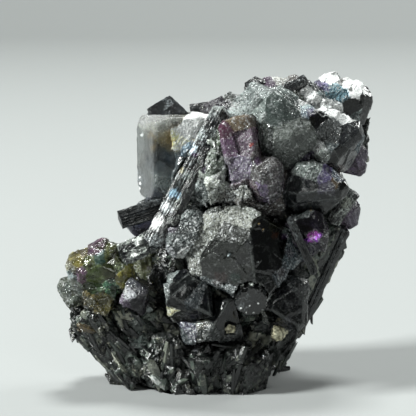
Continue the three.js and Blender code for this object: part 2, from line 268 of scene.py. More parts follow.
# How each fluorite piece is dressed: its material, how frosted its faces are from 0 to 1, and its seed.
FLUORITE = {
    "fluorite_main": ("smoky", 0.45, 1),
    "fluorite_upper_gem": ("smoky", 0.5, 2),
    "fluorite_crown": ("smoky", 0.7, 3),
    "fluorite_right_gem": ("smoky", 0.35, 4),
    "fluorite_front_octahedron": ("smoky", 0.4, 5),
    "fluorite_low_blue": ("smoky", 0.4, 6),
    "fluorite_low_right": ("smoky", 0.3, 7),
    "fluorite_back_gem": ("smoky", 0.5, 8),
    "fluorite_frosted_ridge": ("frosted", 0.8, 9),
    "fluorite_frosted_small": ("frosted", 0.6, 10),
    "fluorite_violet_pair": ("violet", 0.5, 11),
    "fluorite_violet_flash": ("violet", 0.25, 12),
    "fluorite_left_violet": ("violet", 0.4, 13),
    "fluorite_right_bead": ("violet", 0.4, 14),
    "fluorite_right_bead_low": ("violet", 0.4, 15),
    "fluorite_top_mauve": ("violet", 0.5, 16),
    "fluorite_top_left_mauve": ("violet", 0.5, 17),
    "fluorite_back_violet": ("violet", 0.5, 18),
    "fluorite_green_trio": ("green", 0.4, 19),
    "fluorite_back_green": ("green", 0.5, 20),
    "fluorite_clear_left": ("clear", 0.15, 21),
}


# A facet with this frost, or a colour spot with this strength, takes the white-and-highlight material. Some
# white facets are etched white; the other white facets and every lit spot are painted highlights where a
# crystal reflects the lamp, and the honey glow of the clear crystal is painted light shining through it.
# Whether the real ones are etched white or only reflect the lamp can't be told.
WHITE = 2
LIT = 2

# The facets that the crystals show to the front, placed and coloured one by one: centre in mm to the right of
# the middle of the foot and in mm up, reach in mm, colour, and frost from 0 to 1.
# Each facet's colour is partly its own and partly painted light and shade: how brightly the facet is lit is
# painted into it, the white facets are in part painted highlights, and the near-black glassy windows are
# painted dark reflections.
FACETS = {
    "fluorite_main": (
        (-1.4, 26.5, 2.0, "#767772", 1), (-2.0, 21.8, 2.0, "#686964", 1), (2.3, 30.7, 2.6, "#8f9089", 1),
        (6.5, 31.6, 2.8, "#8b8c86", 1), (10.4, 33.6, 2.6, "#8c8f8a", 0.95),
        (2.0, 33.8, 2.8, "#3f403b", 0.9),
        (6.8, 34.8, 3.0, "#494a45", 0.95), (10.6, 36.2, 2.9, "#3a302d", 0.8),
        (5.5, 28.6, 2.9, "#3a3a37", 0.7),
        (4.7, 23.2, 4.5, "#32342f", 0.08), (12.2, 26.0, 3.9, "#040505", 0), (12.9, 30.9, 3.0, "#0e0e08", 0),
        (16.9, 29.4, 1.6, "#4f5c58", 0.4), (17.3, 24.8, 2.7, "#56666f", 0.45),
        (16.2, 20.2, 1.2, "#586068", 0.6),
        (2.9, 16.9, 4.0, "#454c4f", 0.5), (10.2, 17.4, 3.6, "#1c1d1d", 0.1)),
    "fluorite_upper_gem": (
        (6.4, 50.8, 1.6, "#a0a9a8", 0.6), (8.8, 53.2, 2.0, "#8f9897", 0.4),
        (12.2, 55.8, 1.9, "#98a09f", 0.4),
        (16.2, 55.0, 1.9, "#7c8684", 0.35), (11.0, 51.0, 1.4, "#8c9693", 0.4),
        (15.0, 51.4, 3.4, "#5f6a67", 0.2),
        (19.0, 51.8, 1.3, "#a8bccb", 0.6), (17.1, 45.9, 3.8, "#868c87", 0.35),
        (11.6, 46.2, 2.0, "#434a44", 0.25),
        (22.0, 49.5, 1.3, "#0b0e11", 0), (23.9, 47.4, 2.2, "#6f7273", 0.4),
        (27.7, 46.6, 2.4, "#3a3c41", 0.15),
        (30.1, 45.3, 1.2, "#5a6d77", 0.4), (25.6, 42.8, 1.7, "#0e0c0c", 0),
        (27.9, 41.8, 1.4, "#1c2230", 0.1),
        (25.8, 40.0, 1.1, "#40201e", 0.2), (22.2, 43.6, 1.3, "#a6ada8", 0.7),
        (19.6, 42.8, 1.1, "#3c2a50", 0.3),
        (23.8, 44.3, 1.0, "#4b5558", 0.4), (20.1, 54.7, 1.5, "#e8eae8", WHITE),
        (22.4, 52.8, 1.6, "#e8eae8", WHITE),
        (24.7, 52.0, 1.6, "#eceeec", WHITE), (26.8, 50.4, 1.5, "#e8eae8", WHITE)),
    "fluorite_crown": (
        (20.2, 54.9, 1.4, "#eceeec", WHITE), (21.5, 53.1, 1.4, "#eceeec", WHITE),
        (23.4, 52.4, 1.4, "#e8eae8", WHITE),
        (25.3, 51.7, 1.2, "#e8eae8", WHITE), (18.8, 56.6, 1.0, "#16181a", 0.1),
        (24.5, 58.1, 2.2, "#eceeec", WHITE), (27.6, 57.9, 2.0, "#eceeec", WHITE),
        (22.4, 56.8, 1.0, "#6a5f86", 0.5),
        (24.7, 55.4, 1.8, "#6f93a0", 0.7), (26.7, 54.3, 1.3, "#4b7484", 0.6),
        (28.9, 54.9, 1.4, "#dfe3e2", WHITE),
        (21.5, 56.2, 1.0, "#33373a", 0.3), (22.9, 54.6, 1.2, "#667172", 0.6),
        (28.3, 52.4, 1.6, "#0b0c0e", 0),
        (29.4, 50.4, 1.3, "#74807f", 0.7), (31.7, 54.0, 2.0, "#0f1011", 0.1),
        (31.4, 50.0, 2.0, "#0e0f10", 0.1)),
    "fluorite_right_gem": (
        (19.6, 40.0, 2.3, "#545b59", 0.9), (22.6, 38.9, 0.9, "#5f5480", 0.3),
        (18.8, 36.6, 2.8, "#2a2e32", 0.1),
        (23.2, 36.7, 1.5, "#3a3348", 0.25), (25.7, 38.8, 1.0, "#7d8ba0", 0.5),
        (24.9, 37.5, 0.9, "#6b5228", 0.3),
        (26.8, 36.5, 2.0, "#0a0b0d", 0), (22.8, 33.8, 2.0, "#1d2325", 0.1),
        (16.9, 37.6, 1.2, "#3a4143", 0.4),
        (27.6, 39.5, 1.3, "#101214", 0.1)),
    "fluorite_violet_pair": (
        (7.2, 48.9, 1.9, "#76664a", 0.45), (5.3, 47.0, 1.2, "#582a40", 0.3),
        (5.5, 44.3, 1.9, "#624460", 0.45),
        (8.2, 45.3, 2.4, "#6e5c6a", 0.55), (10.5, 44.3, 1.6, "#6a625e", 0.6),
        (7.2, 40.5, 2.0, "#80778a", 0.65),
        (5.0, 41.5, 1.0, "#76717a", 0.6), (12.2, 40.1, 2.9, "#53524d", 0.5),
        (13.5, 37.0, 1.6, "#464542", 0.45),
        (11.4, 36.8, 1.2, "#7c6e8c", 0.5), (8.6, 35.7, 2.0, "#54484a", 0.6)),
    "fluorite_frosted_ridge": (
        (1.5, 44.5, 1.5, "#8e958c", 1), (3.4, 44.3, 1.2, "#4c5846", 0.7), (3.0, 41.5, 2.0, "#333d30", 0.6),
        (0.0, 41.5, 1.1, "#6c577a", 0.6), (-1.5, 39.5, 1.5, "#8a9088", 1),
        (-3.8, 35.7, 2.0, "#6f7575", 0.9),
        (-0.6, 35.7, 2.0, "#555c5d", 0.8), (2.9, 36.7, 1.6, "#8d908a", 1), (4.8, 34.7, 1.6, "#524f4c", 0.8),
        (7.6, 36.7, 1.6, "#7c7d79", 1), (10.5, 33.8, 2.0, "#382a29", 0.6), (7.6, 33.2, 1.5, "#575250", 0.8),
        (4.2, 39.0, 1.1, "#a0a59e", 1), (-3.6, 44.2, 1.4, "#5a7488", 0.6),
        (-4.3, 41.5, 1.6, "#1c2a36", 0.2),
        (-4.6, 38.8, 1.5, "#26323a", 0.4)),
    "fluorite_frosted_small": (
        (-3.2, 32.6, 1.4, "#5a6061", 0.9), (-4.6, 30.1, 1.2, "#493f50", 0.6),
        (-2.1, 29.4, 2.0, "#292e31", 0.5),
        (-3.8, 27.1, 1.8, "#3c4244", 0.8), (-2.5, 24.9, 1.1, "#b0b8bb", 1),
        (-5.9, 25.0, 1.0, "#7e7f84", 0.9)),
    "fluorite_green_trio": (
        (-21.9, 25.3, 1.2, "#8d7a45", 0.3), (-19.6, 25.6, 1.0, "#5b3a58", 0.2),
        (-22.6, 23.4, 1.4, "#8f8238", 0.2),
        (-22.0, 21.2, 1.3, "#5c2f5c", 0.2), (-20.3, 22.9, 1.2, "#5a6230", 0.2),
        (-18.9, 20.9, 1.9, "#4c5e2a", 0.1),
        (-18.2, 23.6, 1.0, "#24444a", 0.1), (-16.9, 21.5, 1.6, "#1d2216", 0),
        (-16.0, 24.2, 1.3, "#4d5230", 0.2),
        (-15.4, 21.8, 1.0, "#87946f", 0.5), (-16.5, 18.7, 1.1, "#4b7d62", 0.4),
        (-14.2, 20.3, 1.2, "#948a30", 0.3),
        (-19.0, 18.4, 1.4, "#3f5a42", 0.2), (-20.2, 15.9, 1.6, "#6d5f36", 0.5),
        (-18.2, 16.9, 1.0, "#7a6e2c", 0.3),
        (-23.8, 20.3, 1.1, "#77848c", 0.5), (-23.8, 22.5, 1.0, "#a39b84", 0.6),
        (-24.7, 17.3, 3.0, "#4a5352", 0.45),
        (-21.6, 14.6, 1.2, "#4d4b4c", 0.5)),
    "fluorite_front_octahedron": (
        (-5.7, 20.0, 1.1, "#626969", 0.9), (-6.6, 17.5, 1.3, "#575d5d", 0.9),
        (-3.2, 18.4, 2.4, "#17191b", 0.05),
        (-4.2, 16.1, 1.5, "#1c1d1f", 0.1), (-4.7, 14.3, 0.8, "#c2b68c", 0.9),
        (-1.0, 16.5, 1.8, "#26313a", 0.3),
        (1.2, 15.7, 1.6, "#10151b", 0), (-3.8, 12.7, 1.5, "#26241e", 0.3), (0.2, 13.4, 1.5, "#0d0f12", 0)),
    "fluorite_low_blue": (
        (-1.0, 13.2, 1.2, "#35424c", 0.4), (0.6, 12.1, 1.1, "#333826", 0.25),
        (-1.9, 10.9, 0.6, "#3a3850", 0.5),
        (-3.6, 9.4, 0.8, "#2c3c44", 0.5), (2.3, 14.0, 1.6, "#101920", 0.05),
        (4.8, 12.7, 2.4, "#0b0d0f", 0.05),
        (1.9, 10.2, 1.5, "#2e3433", 0.4), (5.7, 9.8, 2.0, "#121516", 0.2)),
    "fluorite_low_right": (
        (14.3, 14.6, 2.5, "#0f1214", 0.05), (17.1, 15.5, 2.0, "#15171d", 0.1),
        (19.0, 17.5, 1.5, "#23272a", 0.4),
        (15.8, 12.1, 1.5, "#2c2836", 0.3), (12.0, 15.9, 1.0, "#aab6bc", WHITE),
        (11.9, 13.6, 0.8, "#6a6a66", 0.9),
        (18.1, 12.7, 1.5, "#101214", 0.1)),
    "fluorite_violet_flash": (
        (18.4, 32.6, 1.7, "#6a7272", 0.8), (16.9, 33.2, 0.8, "#94723a", 0.6),
        (19.0, 30.2, 1.6, "#121415", 0.05),
        (21.6, 30.7, 1.4, "#181124", 0.05), (20.7, 25.0, 1.6, "#44464c", 0.6),
        (17.9, 28.2, 1.0, "#0b0c0d", 0),
        (23.4, 26.2, 1.2, "#4c4c4c", 0.6), (20.7, 27.7, 0.6, "#a23cdc", 0.7)),
    "fluorite_left_violet": (
        (-12.5, 17.1, 1.2, "#94949a", 0.8), (-14.1, 15.5, 1.0, "#7a6e80", 0.7),
        (-11.3, 18.8, 1.4, "#3a4044", 0.4),
        (-11.0, 15.7, 1.5, "#17191b", 0.2)),
    "fluorite_clear_left": (
        (-11.3, 44.3, 1.8, "#7b817f", 0.25), (-11.5, 37.6, 1.8, "#80868a", 0.25),
        (-9.3, 44.3, 1.3, "#262723", 0.1),
        (-9.4, 38.9, 1.1, "#2f312b", 0.1), (-7.2, 48.9, 1.7, "#adafa8", 0.6),
        (-4.2, 49.9, 1.2, "#83847f", 0.3),
        (-1.7, 48.2, 2.2, "#f3ecd8", WHITE), (-3.2, 45.5, 1.5, "#dcc78a", WHITE),
        (-4.6, 46.6, 1.2, "#d8b468", WHITE),
        (-6.2, 46.3, 1.3, "#8a7a4a", 0.3),
        (-6.9, 41.7, 2.7, "#1b2a36", 0.2), (-4.6, 40.5, 1.5, "#26323a", 0.2),
        (-8.2, 38.6, 0.9, "#8e9a9a", 0.6),
        (-7.8, 35.7, 1.3, "#12142f", 0.05), (-5.9, 36.9, 1.2, "#3a4444", 0.4),
        (-3.2, 43.2, 1.0, "#5a7d94", 0.5)),
    "fluorite_top_left_mauve": (
        (3.2, 53.9, 1.4, "#85828a", 0.6), (5.7, 55.0, 1.5, "#a5a29e", 0.9),
        (5.1, 53.0, 1.2, "#4a4446", 0.3)),
    "fluorite_top_mauve": (
        (12.7, 57.2, 1.3, "#5c4a5c", 0.4), (15.2, 58.1, 1.5, "#9a9894", 0.9),
        (17.7, 57.8, 1.4, "#8a8782", 0.7),
        (19.2, 56.8, 1.2, "#1a1a1c", 0.1)),
}

# Small colour spots of the fluorite: centre, reach and colour as above, and how strong the colour is. A spot
# with a strength above 1 is a painted highlight and takes the white-and-highlight material.
ZONES = {
    "fluorite_main": (
        (13.4, 16.2, 0.9, "#c4ced4", 1.0), (5.3, 24.6, 0.3, "#a9bcc2", LIT),
        (10.6, 30.3, 0.2, "#c8a050", LIT),
        (11.4, 29.3, 0.18, "#c8a050", LIT), (10.4, 23.4, 0.18, "#d0d4d4", LIT),
        (13.6, 30.2, 1.3, "#3f3d1e", 0.8), (13.7, 28.2, 0.6, "#7a431c", 0.8),
        (15.6, 28.0, 0.6, "#6c4a80", 0.8),
        (16.4, 24.9, 0.9, "#4c3a5c", 0.7), (18.9, 22.6, 0.7, "#544c86", 0.7),
        (3.8, 20.4, 1.2, "#5a3838", 0.5),
        (6.3, 20.4, 1.0, "#22483f", 0.5), (14.8, 21.4, 1.0, "#4a2838", 0.7)),
    "fluorite_violet_pair": ((9.3, 44.7, 0.45, "#c8381e", 1.0), (10.4, 41.9, 0.7, "#8a5f94", 0.8)),
    "fluorite_violet_flash": (
        (19.5, 27.1, 0.4, "#c050f4", LIT), (20.3, 27.6, 0.4, "#f0b4ff", LIT),
        (21.1, 27.9, 0.4, "#d878ff", LIT),
        (21.9, 28.3, 0.3, "#c050f4", LIT), (17.9, 33.3, 0.25, "#d8a848", LIT),
        (20.3, 32.8, 0.25, "#d8a848", LIT)),
    "fluorite_frosted_ridge": ((-1.8, 40.0, 0.7, "#74507e", 0.9), (-3.6, 39.1, 0.6, "#7a6e44", 0.9)),
    "fluorite_upper_gem": ((20.2, 50.6, 0.8, "#7a6a9c", 0.8), (29.6, 43.9, 0.8, "#2c6f88", 0.9)),
    "fluorite_crown": ((23.4, 56.0, 0.8, "#5d4390", 0.9), (26.9, 58.0, 0.6, "#8c8480", 0.6)),
    "fluorite_clear_left": (
        (-11.1, 47.2, 0.35, "#ffffff", LIT), (-11.6, 39.2, 0.25, "#ffffff", LIT),
        (-11.5, 38.0, 0.3, "#ffffff", LIT),
        (-11.6, 37.0, 0.25, "#ffffff", LIT), (-11.2, 35.4, 0.35, "#ffffff", LIT),
        (-6.8, 36.4, 0.2, "#d8ecf8", LIT),
        (-9.2, 47.0, 0.7, "#b0955a", 0.6), (-8.6, 44.6, 0.6, "#a08a58", 0.5)),
}

# Colour of the schorl by place: centre, reach, colour and strength as above.
# The white, silvery and bluish-white spots along the long prism, the white and silvery ones on the left knot
# and the pale cream ones along the left prism's top edge are painted highlights and reflections of the lamp
# on the glassy schorl. The near-black spots make it darker where they lie, the large ones low on the front
# and at the foot.
SCHORL_ZONES = (
    (4.0, 5.5, 6.0, "#080a0a", 1.0), (14.5, 6.0, 4.0, "#0d100f", 0.85), (9.0, 0.8, 6.0, "#080909", 0.9),
    (-9.2, 28.9, 1.2, "#0c0d0e", 0.95), (-7.4, 30.6, 1.5, "#ffffff", 1.0),
    (-5.9, 33.3, 1.1, "#f6fafc", 1.0),
    (-4.6, 35.9, 1.0, "#8fb2c8", 0.8), (-6.2, 31.2, 0.5, "#131617", 0.9),
    (-4.0, 37.9, 1.5, "#262b2a", 0.85),
    (-2.6, 39.4, 0.7, "#7f8a87", 0.8), (-1.0, 6.4, 5.5, "#0a0c0c", 0.85), (-3.4, 40.3, 0.5, "#8a8056", 0.9),
    (-2.3, 42.2, 0.9, "#2e3334", 0.8),
    (-2.0, 44.4, 1.4, "#dcecf6", 1.0), (-1.0, 43.0, 0.5, "#6a4c78", 0.8), (-0.4, 47.2, 1.4, "#808a8a", 0.7),
    (1.6, 47.6, 0.8, "#121414", 0.9), (2.4, 49.6, 0.9, "#151818", 0.9), (1.6, 50.6, 0.8, "#8b9393", 0.8),
    (3.8, 52.0, 1.6, "#a2a8a6", 0.75), (4.6, 50.4, 0.6, "#1b1e1e", 0.8),
    (-11.4, 27.1, 0.9, "#eef2ee", 0.95), (-13.4, 27.4, 0.8, "#a4aaa4", 0.9),
    (-12.2, 24.9, 0.7, "#f2f5f0", 0.95),
    (-10.2, 25.4, 0.6, "#c4cac4", 0.9), (-14.5, 34.2, 0.6, "#b8b078", 0.9),
    (-12.8, 34.8, 0.5, "#dcd8b0", 0.95),
    (-11.0, 35.2, 0.5, "#ece8cc", 0.95), (-9.2, 35.6, 0.5, "#f0ecd4", 0.95),
    (-11.0, 7.9, 1.4, "#55605c", 0.9),
    (-22.4, 11.3, 0.6, "#7a6444", 0.5), (-21.2, 10.5, 0.5, "#7a6a4c", 0.4),
    (-8.6, 2.2, 2.0, "#161918", 0.85),
    (-6.2, 7.0, 0.9, "#2a302e", 0.85), (-19.0, 3.6, 1.5, "#7f8278", 0.8),
    (-15.2, 4.6, 0.7, "#b4b5a6", 0.9), (-16.6, 8.0, 0.6, "#7d7b6c", 0.8),
    (-10.5, 14.4, 1.2, "#a4adad", 0.5), (20.6, 10.5, 1.4, "#6a655a", 0.6),
    (18.6, 14.0, 1.2, "#5f5c50", 0.6), (27.2, 34.2, 1.0, "#a3a89c", 0.7), (12.0, 11.0, 1.2, "#2e3232", 0.7),
    (7.4, 15.0, 0.2, "#f0f3f1", 1.0), (8.4, 14.2, 0.16, "#f0f3f1", 1.0), (9.0, 15.5, 0.16, "#f0f3f1", 1.0),
    (9.7, 14.1, 0.18, "#f0f3f1", 1.0), (8.0, 13.4, 0.16, "#f0f3f1", 1.0),
    (10.5, 15.9, 0.15, "#f0f3f1", 1.0),
    (7.6, 19.5, 0.4, "#c8cec8", 0.9), (9.3, 19.7, 0.4, "#c8cec8", 0.9), (11.0, 19.5, 0.4, "#c8cec8", 0.9),
)


def seen(points):
    """Where the points are seen from the front: how far across and how far up, in metres."""
    return np.c_[points[:, 0], points[:, 2] + math.tan(RISE) * points[:, 1]]


def near(at, ragged, zone):
    """How near each place is to a zone, from 0 to 1: one inside the reach and fading past it, with an
    edge made uneven by `ragged`."""
    gap = np.linalg.norm(at - np.array(zone[:2]) * MM, axis=1) / (zone[2] * MM)
    return np.clip((1.15 - gap + ragged) / 0.4, 0, 1)


def facet_at(points, facets, seed):
    """The facet that each point lies in and how far the facet's edge is. Seen from the front, a point goes
    with the centre for which its squared distance, less the squared reach, is least, so that the edges
    are straight; a wave makes them a little uneven. The offset from that centre comes with it, and how
    near the point is to each facet, as shares that add up to one."""
    uneven = np.c_[waves(points, 1.2 * MM, seed), waves(points, 1.2 * MM, seed + 1)] * 0.14 * MM
    at = seen(points) + uneven
    centres = np.array([facet[:2] for facet in facets]) * MM
    reach = np.array([facet[2] for facet in facets]) * MM
    power = ((at[:, None] - centres[None]) ** 2).sum(axis=2) - reach ** 2
    order = np.argsort(power, axis=1)
    first, second = order[:, 0], order[:, 1]
    rows = np.arange(len(points))
    apart = np.linalg.norm(centres[first] - centres[second], axis=1)
    nearness = np.exp(-(power - power[rows, first][:, None]) / (1.5 * MM) ** 2)
    nearness /= nearness.sum(axis=1, keepdims=True)
    return first, (power[rows, second] - power[rows, first]) / (2 * apart), at - centres[first], nearness


def keep_zones(mesh, points, colour, share, zones, seed):
    """Stores each point's colour and how strong it is, after the zones are laid over it in turn."""
    at = seen(points)
    ragged = 0.3 * waves(points, 1.6 * MM, seed) + 0.25 * waves(points, 0.5 * MM, seed + 50)
    for zone in zones:
        weight = near(at, ragged, zone) * min(zone[4], 1)
        share = share * (1 - weight) + weight
        mixed = weight / np.maximum(share, 1e-6)
        colour = colour + (np.array(linear(zone[3])) - colour) * mixed[:, None]
    kept = mesh.attributes.new("zone", "FLOAT_COLOR", "POINT")
    kept.data.foreach_set("color", colour.astype(np.float32).ravel())
    keep_values(mesh, "zone_share", share)


def keep_schorl_zones(mesh, points, seed):
    """Stores the colour of schorl by place, painted highlights and reflections among it."""
    keep_zones(mesh, points, np.zeros((len(points), 4)), np.zeros(len(points)), SCHORL_ZONES, seed)


def etched_crystal(node, slot, frosting, seed, materials):
    """A fluorite crystal's skin. Each point of its flat faces moves along the face's normal by a sum: the
    edges sink as the square of how near they are, each facet leans and stands off by amounts of its own,
    the face steps block by block, and etch pits, the fold of a short wave, and a grain of their own deepen
    where it is frosted. A facet's colour is painted lighter across it, mostly towards the upper left, as
    painted light and shade, and banded along its edges, as growth does, and green crystals vary it block
    by block. White facets, in part etched white and in part painted highlights, and lit spots, which are
    painted highlights, take the white-and-highlight material. `frost` is kept for the material, and `rim`,
    which is how near an edge is."""
    mesh, solid, ends = net_of(node, FINE_NET)
    points = points_of(mesh)
    face, ways = face_of(solid, points, normals_of(mesh))
    rng = np.random.default_rng(seed + 500)
    from_edge = edge_distance(points, ends, 4 * WORN)
    growth, tone = blocks(points, 3.2 * MM, 0.07, 0.06 * MM, seed + 200)
    small_growth, small_tone = blocks(points, 0.8 * MM, 0.16, 0.02 * MM, seed + 250)
    colour = np.zeros((len(points), 4))
    share = np.zeros(len(points))
    inner = np.zeros(len(points))
    pale = np.zeros(len(points))
    if node in FACETS:
        facets = FACETS[node]
        facet, gap, offset, nearness = facet_at(points, facets, seed)
        reach = np.array([each[2] for each in facets])[facet] * MM
        face_frost = np.array([each[4] for each in facets], dtype=float)[facet]
        # White facets take the white-and-highlight material at three times their colour: in part etched
        # white, in part painted highlights.
        pale = np.where(face_frost > 1, WHITE_FACE, np.where(face_frost > 0.75, PALE_FACE, 0))
        face_frost = np.minimum(face_frost, 1)
        strength = np.where(pale == WHITE_FACE, 3.0, 1.35 + 0.95 * face_frost)
        painted = np.array([linear(each[3]) for each in facets])
        colour = (nearness @ painted if slot == "clear" else painted[facet]) * strength[:, None]
        # Each facet is painted lighter across it, mostly towards the upper left where the lamps are: painted
        # light and shade, turned at random facet by facet. The bands along its edges are growth zoning.
        slope = np.array([-0.5, 0.7]) + rng.normal(scale=0.6, size=(len(facets), 2))
        across = np.clip((offset * slope[facet]).sum(axis=1) / reach, -1, 1)
        banded = np.cos(gap * 2 * np.pi / (0.75 * MM)) * np.exp(-gap / (1.3 * MM))
        colour *= (1 + 0.38 * across + (0.06 + 0.3 * face_frost) * banded)[:, None]
        if slot == "green":
            colour *= (0.25 + 1.5 * small_tone)[:, None]
            small_growth = small_growth * 3.5
        share = np.full(len(points), 0.72 if slot == "green" else 0.92)
        inner = np.clip(1 - gap / (0.19 * MM), 0, 1) * (0.22 + 0.8 * face_frost) * (slot != "clear")
        lean = rng.normal(scale=0.07, size=(len(facets), 2))
        stand = rng.normal(scale=0.07 * MM, size=len(facets))
        leant = np.clip((offset * lean[facet]).sum(axis=1) + stand[facet], -0.3 * MM, 0.2 * MM)
        growth = growth * 0.6 + leant * (0.5 if slot == "clear" else 2)
        # Lit spots are painted highlights: they take the white-and-highlight material and a frost of 0.8.
        for zone in ZONES.get(node, ()):
            if zone[4] > 1:
                lit = near(seen(points), 0.3 * waves(points, 0.5 * MM, seed + 60), zone) > 0.5
                pale = np.where(lit, WHITE_FACE, pale)
                face_frost = np.where(lit, 0.8, face_frost)
    else:
        # Faces turned up and to the left, towards the lamps, get more frost and so turn paler: painted light,
        # on top of frost that differs face by face at random.
        light = ways @ np.array([-0.45, 0.1, 0.85])
        by_face = frosting * rng.uniform(0.15, 1.5, len(ways)) + 0.35 * np.clip(light, -0.5, 1)
        face_frost = np.clip(by_face, 0, 1)[face]
    nick = 1 + 0.9 * waves(points, 1.1 * MM, seed + 100)
    sink = WORN_DEPTH * nick * np.clip(1 - from_edge / WORN, 0, 1) ** 2
    pits = np.abs(waves(points, 0.8 * MM, seed + 300))
    patches = waves(points, 2.0 * MM, seed + 400)
    frost = np.clip(face_frost * (0.95 + 0.3 * patches) + 0.12 * (small_tone - 0.5), 0, 1)
    rim = np.clip(1.15 - from_edge / WORN, 0, 1) * np.clip(0.75 + 0.6 * patches, 0.2, 1)
    rugged = face_frost * (1 + 4 * max(frosting - 0.5, 0)) * (0.3 if slot == "clear" else 1)
    relief = growth * (0.3 + rugged) + small_growth * rugged - 0.06 * MM * rugged * pits
    relief += 0.03 * MM * frost * rng.normal(size=len(points))
    relief = np.minimum(relief, 0.25 * MM)
    move_points(mesh, points + ways[face] * (relief - sink - 0.02 * MM)[:, None])
    keep_values(mesh, "frost", frost)
    keep_values(mesh, "rim", np.maximum(rim, inner))
    keep_values(mesh, "tone", 0.6 * tone + 0.4 * small_tone)
    keep_zones(mesh, points, np.minimum(colour, 0.92), share, ZONES.get(node, ()), seed)
    for material in materials:
        mesh.materials.append(material)
    new_piece(node + "_skin", mesh, [node])
    first = corners_first(mesh)
    mesh.polygons.foreach_set("use_smooth", face_frost[first] < 0.4)
    mesh.polygons.foreach_set("material_index", pale[first].astype(np.int32))


# Schorl

PRISMS = {
    "schorl_long_prism": 31,
    "schorl_long_prism_twin": 32,
    "schorl_left_prism": 33,
    "schorl_left_peak": 34,
    "schorl_top_lath": 35,
    "schorl_top_stub": 36,
    "schorl_back_top_lath": 37,
    "schorl_cleft_prism": 38,
    "schorl_front_stub": 39,
    "schorl_left_knot": 40,
    "schorl_right_edge_lath": 41,
    "schorl_right_small": 42,
    "schorl_back_prism": 43,
    "schorl_back_prism_small": 44,
}


# Prisms whose sides have broken in many places.
BROKEN = ("schorl_long_prism", "schorl_left_knot")


def outer_planes(mesh):
    """The planes that the whole solid lies behind, as outward normals and distances from the origin."""
    normals, distance = planes_of(mesh)
    outer = (points_of(mesh) @ normals.T).max(axis=0) < distance + 0.02 * MM
    return normals[outer], distance[outer]


def main_axis(points):
    """Middle, long direction and two cross directions of a slender solid, from the spread of its corners."""
    middle = (points.min(axis=0) + points.max(axis=0)) / 2
    spread = np.linalg.eigh(np.cov((points - middle).T))[1]
    axis = spread[:, 2]
    return middle, axis, spread[:, 0], np.cross(axis, spread[:, 0])


def striated_prism(node, seed, material, around=220, along=44, rings=14):
    """A schorl prism: the crystal's own outline carried along its axis. At each angle the radius is the
    nearest side plane, times 0.96 plus a sum of cosines of whole numbers of ridges, and its wall is
    stepped in blocks, deeper on the broken prisms. The two ends follow the lowest of their sloping
    planes above each point, sunk by a short wave."""
    solid = merged_copy(node)[0]
    corners = points_of(solid)
    middle, axis, side, across = main_axis(corners)
    normals, distance = outer_planes(solid)
    lean = normals @ axis
    gap = distance - normals @ middle
    angle = np.arange(around) * 2 * np.pi / around
    out = np.cos(angle)[:, None] * side + np.sin(angle)[:, None] * across
    sides = np.abs(lean) < 0.35
    toward = out @ normals[sides].T
    radius = np.where(toward > 0.05, gap[sides] / np.maximum(toward, 0.05), 1).min(axis=1)
    rng = np.random.default_rng(seed)
    ridge = np.zeros(around)
    for size, strength in ((5, 0.02), (11, 0.025), (19, 0.03), (29, 0.025), (47, 0.015)):
        ridge += strength * np.cos(size * angle + rng.uniform(0, 6.3) + 2.2 * np.sin(angle * 2 + seed))
    radius = radius * (0.96 + ridge)

    def end_height(offset, way):
        """How far along the axis the end lies over each offset: the least of its planes' heights."""
        facing = lean * way > 0.35
        height = (gap[facing] - offset @ normals[facing].T) / (lean[facing] * way)
        return height.min(axis=-1) * way

    flat = out * radius[:, None]
    low = end_height(flat, -1)
    high = end_height(flat, 1)
    share = np.linspace(0, 1, along)[:, None]
    wobble = 1 + 0.012 * np.cos(share * 9 + angle * 5 + seed) + 0.01 * np.cos(share * 23 + angle * 9)
    wall = flat[None] * wobble[..., None]
    wall = wall + (low + share * (high - low))[..., None] * axis
    step = blocks(wall.reshape(-1, 3) + middle, 1.5 * MM, 0.1, 0.07 * MM, seed)[0]
    if node in BROKEN:
        step = 1.6 * step + 0.25 * MM * np.minimum(waves(wall.reshape(-1, 3), 1.6 * MM, seed + 5), 0)
    wall = wall + out[None] * np.clip(step, -0.6 * MM, 0.05 * MM).reshape(along, around, 1)
    grids = [wall]
    for way, rim in ((1, high), (-1, low)):
        inward = np.linspace(1, 0, rings + 1)[1:-1, None, None]
        offset = flat[None] * inward
        height = end_height(offset.reshape(-1, 3), way).reshape(rings - 1, around)
        step = 0.07 * MM * np.abs(waves(offset.reshape(-1, 3), 0.7 * MM, seed)).reshape(height.shape)
        cap = offset + (height - way * step)[..., None] * axis
        grids.append(cap)
    top_cap, low_cap = grids[1], grids[2]
    rows = np.concatenate([low_cap[::-1], wall, top_cap])
    poles = np.array([end_height(np.zeros((1, 3)), -1)[0] * axis, end_height(np.zeros((1, 3)), 1)[0] * axis])
    points = np.concatenate([rows.reshape(-1, 3), poles]) + middle
    count = len(rows)
    row, column = np.meshgrid(np.arange(count - 1), np.arange(around), indexing="ij")
    beside = (column + 1) % around
    quads = np.stack([row * around + column, row * around + beside,
                      (row + 1) * around + beside, (row + 1) * around + column], axis=-1).reshape(-1, 4)
    column = np.arange(around)
    beside = (column + 1) % around
    low_pole = np.full(around, count * around)
    high_pole = low_pole + 1
    last = (count - 1) * around
    low_fan = np.stack([beside, column, low_pole], axis=-1)
    high_fan = np.stack([last + column, last + beside, high_pole], axis=-1)
    points[:, 2] = np.maximum(points[:, 2], 0)
    mesh = bpy.data.meshes.new(node + "_skin")
    mesh.from_pydata(points.tolist(), [], quads.tolist() + low_fan.tolist() + high_fan.tolist())
    keep_values(mesh, "tone", 0.35 + 0.3 * waves(points, 2.2 * MM, seed))
    keep_schorl_zones(mesh, points, seed)
    mesh.materials.append(material)
    piece = new_piece(node + "_skin", mesh, [node])
    sharpen(piece)


def sharpen(piece, degrees=32):
    """Faces that turn more than that at an edge keep it sharp, and the rest shade as one."""
    piece.data.set_sharp_from_angle(angle=math.radians(degrees))


